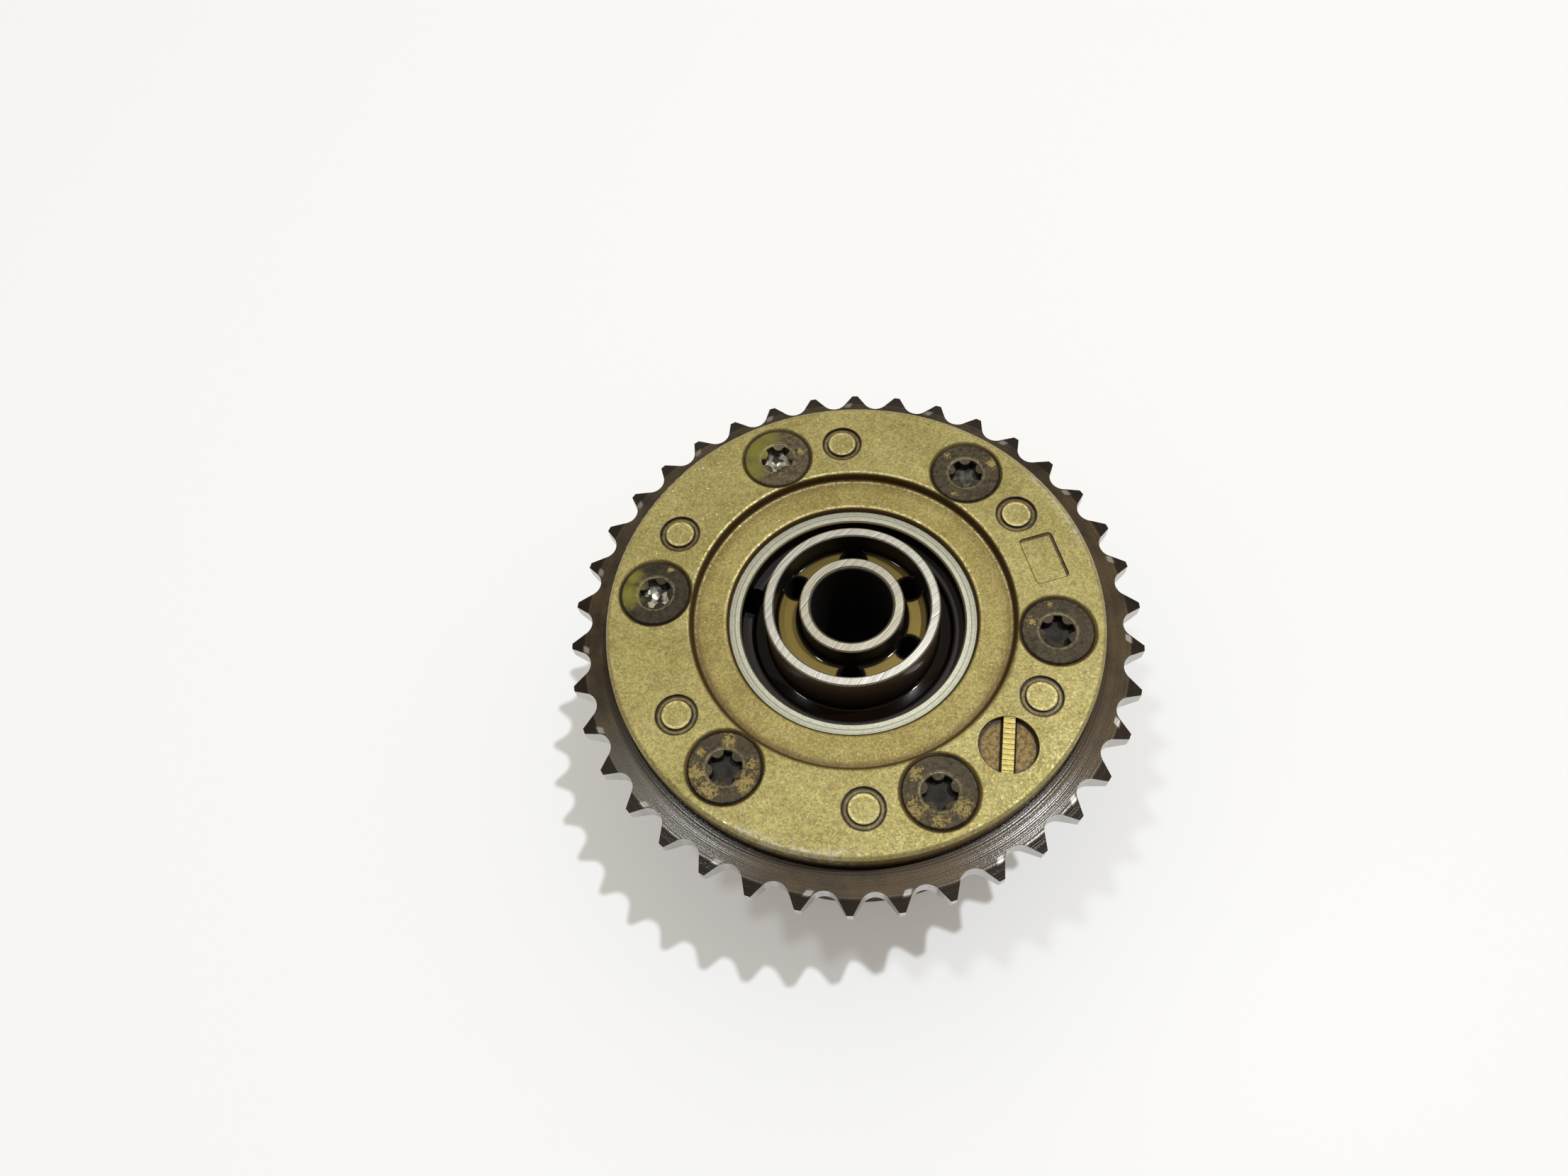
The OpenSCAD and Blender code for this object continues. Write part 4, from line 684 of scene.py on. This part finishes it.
def ring_sheet(name, section, spans, middles=((0.0, 0.0, 0.0),)):
    """Sheets of revolution about upright lines, from a section of radius and height in millimetres, over spans of
    degrees."""
    mesh = bpy.data.meshes.new(name)
    net = bmesh.new()
    for (first, last), (x, y, z) in itertools.product(spans, middles):
        steps = max(8, int(abs(last - first) / 2.5))
        rows = []
        for k in range(steps + 1):
            turn = math.radians(first + (last - first) * k / steps)
            rows.append([net.verts.new((MM * (x + r * math.cos(turn)), MM * (y + r * math.sin(turn)), MM * (z + h)))
                         for r, h in section])
        for low, high in zip(rows, rows[1:]):
            for k in range(len(section) - 1):
                net.faces.new((low[k], low[k + 1], high[k + 1], high[k])).smooth = True
    bmesh.ops.remove_doubles(net, verts=net.verts, dist=1e-7)
    bmesh.ops.recalc_face_normals(net, faces=net.faces)
    net.to_mesh(mesh)
    net.free()
    piece = bpy.data.objects.new(name, mesh)
    bpy.context.scene.collection.objects.link(piece)
    return piece


def meniscus(wall_r, floor_z, climb, inward):
    """Section of oil that climbs a wall from the level beside it, inward or outward of that wall."""
    side = -1 if inward else 1
    bend = [math.radians(a) for a in range(0, 91, 15)]
    return [(wall_r + side * climb * (1 - math.sin(a)), floor_z + climb * (1 - math.cos(a))) for a in bend]


def oil_pieces():
    """Oil that stands in the ring groove round the hub, and the oil's edges on the floor of the hub's own groove."""
    oil = engine_oil()
    clear, climb = 0.02, 0.5
    at_hub = meniscus(HUB_R + clear, MOAT_OIL_Z, climb, False)
    at_rim = meniscus(MOAT_R - 0.03, MOAT_OIL_Z, climb, True)
    pool = [(HUB_R + clear, MOAT_OIL_Z + climb), *reversed(at_hub), *at_rim]
    pieces = [ring_sheet("oil_in_ring_groove", pool, [(0, 360)])]
    from_hole = 8
    spans = [(a + from_hole, b - from_hole) for a, b in zip(OIL_HOLES, OIL_HOLES[1:] + [OIL_HOLES[0] + 360])]
    floor = GROOVE_FLOOR + clear
    pieces.append(ring_sheet("oil_edge_outer", meniscus(HUB_BORE_R - clear, floor, 0.55, True), spans))
    pieces.append(ring_sheet("oil_edge_inner", meniscus(INNER_RING_R + clear, floor, 0.9, False), spans))
    for piece in pieces:
        piece.data.materials.append(oil)
        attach(piece, "rotor")


oil_pieces()


def residue_round_screws():
    """Dried oil in the gap between each screw's head and its recess."""
    section = [(6.18, 45.5), (6.27, 45.62), (6.36, 45.66), (6.46, 45.78)]
    piece = ring_sheet("residue_round_screws", section, [(0, 360)], [on_circle(SCREW_ANGLE + 60 * k) for k in range(6)])
    piece.data.materials.append(plain_piece("dried_engine_oil", "#5E4822", "#24190B", 0.55, 0.3, 0.0))
    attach(piece, "housing")


residue_round_screws()


def giving_springs():
    """Copies of the two springs that give as the part moves, each in the place of its CAD node, which is hidden: the
    bias spring winds between its post and its tang in the rotor, and the lock pin's spring shortens by the pin's 3.5
    mm. The copies are not made to wind or shorten here; the lock pin's spring only rides on the rotor."""
    strip = bpy.data.objects.new("bias_spring_strip", nodes["bias_spring"].data.copy())
    bpy.context.scene.collection.objects.link(strip)
    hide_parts("bias_spring")
    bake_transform(strip)
    coil = bpy.data.objects.new("lock_pin_spring_coil", nodes["lock_pin_spring"].data.copy())
    bpy.context.scene.collection.objects.link(coil)
    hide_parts("lock_pin_spring")
    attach(coil, "rotor")
    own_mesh(coil)


giving_springs()


def white_table():
    """White table top under the part, which keeps its shadow; the camera sees it a little lighter than it is lit."""
    mesh = bpy.data.meshes.new("table_top")
    half, low = 3.0, -0.02 * MM
    corners = [(-half, -half, low), (half, -half, low), (half, half, low), (-half, half, low)]
    mesh.from_pydata(corners, [], [(0, 1, 2, 3)])
    table = bpy.data.objects.new("table_top", mesh)
    bpy.context.scene.collection.objects.link(table)
    material, tree = new_material("white_table_lacquer")
    lacquer = add(tree, "BsdfPrincipled", {"Base Color": linear("#F1F2F4"), "Roughness": 0.4,
                                           "Specular IOR Level": 0.1})
    glow = add(tree, "Emission", {0: linear("#EFEDEA"), 1: 1.0})
    seen = add(tree, "Math", {0: add(tree, "LightPath", out="Is Camera Ray"), 1: 0.26}, operation="MULTIPLY")
    add(tree, "OutputMaterial", {0: add(tree, "MixShader", {0: seen, 1: lacquer, 2: glow})}, out=None)
    mesh.materials.append(material)


white_table()


def soft_world():
    """Studio light, brightest overhead and behind the part, darker from the camera's side."""
    world = bpy.data.worlds.new("soft_studio")
    bpy.context.scene.world = world
    world.use_nodes = True
    tree = world.node_tree
    tree.nodes.clear()
    way = add(tree, "TexCoord", out="Generated")
    level = add(tree, "VectorMath", {0: way, 1: (0.0, 0.45, 0.9)}, out="Value", operation="DOT_PRODUCT")
    level = add(tree, "MapRange", {"Value": level, "From Min": -0.1, "From Max": 0.95}, interpolation_type="SMOOTHSTEP")
    light = add(tree, "Mix", {0: level, 6: linear("#6B604F"), 7: linear("#C9C1B1")}, out=2, data_type="RGBA")
    add(tree, "OutputWorld", {0: add(tree, "Background", {0: light, 1: 1.0})}, out=None)


soft_world()


def lamp(name, place, watts, size):
    """Square lamp, aimed at the part."""
    light = bpy.data.lights.new(name, "AREA")
    light.energy, light.size = watts, size
    light.color = linear("#F7FBFF")[:3]
    holder = bpy.data.objects.new(name, light)
    holder.location = place
    holder.rotation_euler = (Vector((0, 0, 0.04)) - Vector(place)).to_track_quat("-Z", "Y").to_euler()
    bpy.context.scene.collection.objects.link(holder)


lamp("key_lamp", (0.75, 0.234, 2.44), 39.5, 0.06)
lamp("fill_lamp", (-0.70, 0.204, 2.44), 10.0, 0.15)


def photo_camera():
    """Camera of the photograph: its place and directions are fitted to the sprocket's tooth tips."""
    data = bpy.data.cameras.new("photo_camera")
    focal_pixels, photo_pixels = 1579.58, 2212
    data.sensor_width = 36.0
    data.lens = data.sensor_width * focal_pixels / photo_pixels
    camera = bpy.data.objects.new("photo_camera", data)
    right = Vector((0.99717492, -0.01297953, -0.0739846))
    up = Vector((0.04570358, 0.88649444, 0.46047669))
    back = Vector((0.05961017, -0.46255717, 0.88458323))
    turn = Matrix((right, up, back)).transposed().to_4x4()
    camera.matrix_world = Matrix.Translation(Vector((0, -0.085573, 0.219324))) @ turn
    bpy.context.scene.collection.objects.link(camera)
    bpy.context.scene.camera = camera


photo_camera()
bpy.context.scene.view_settings.view_transform = "Standard"
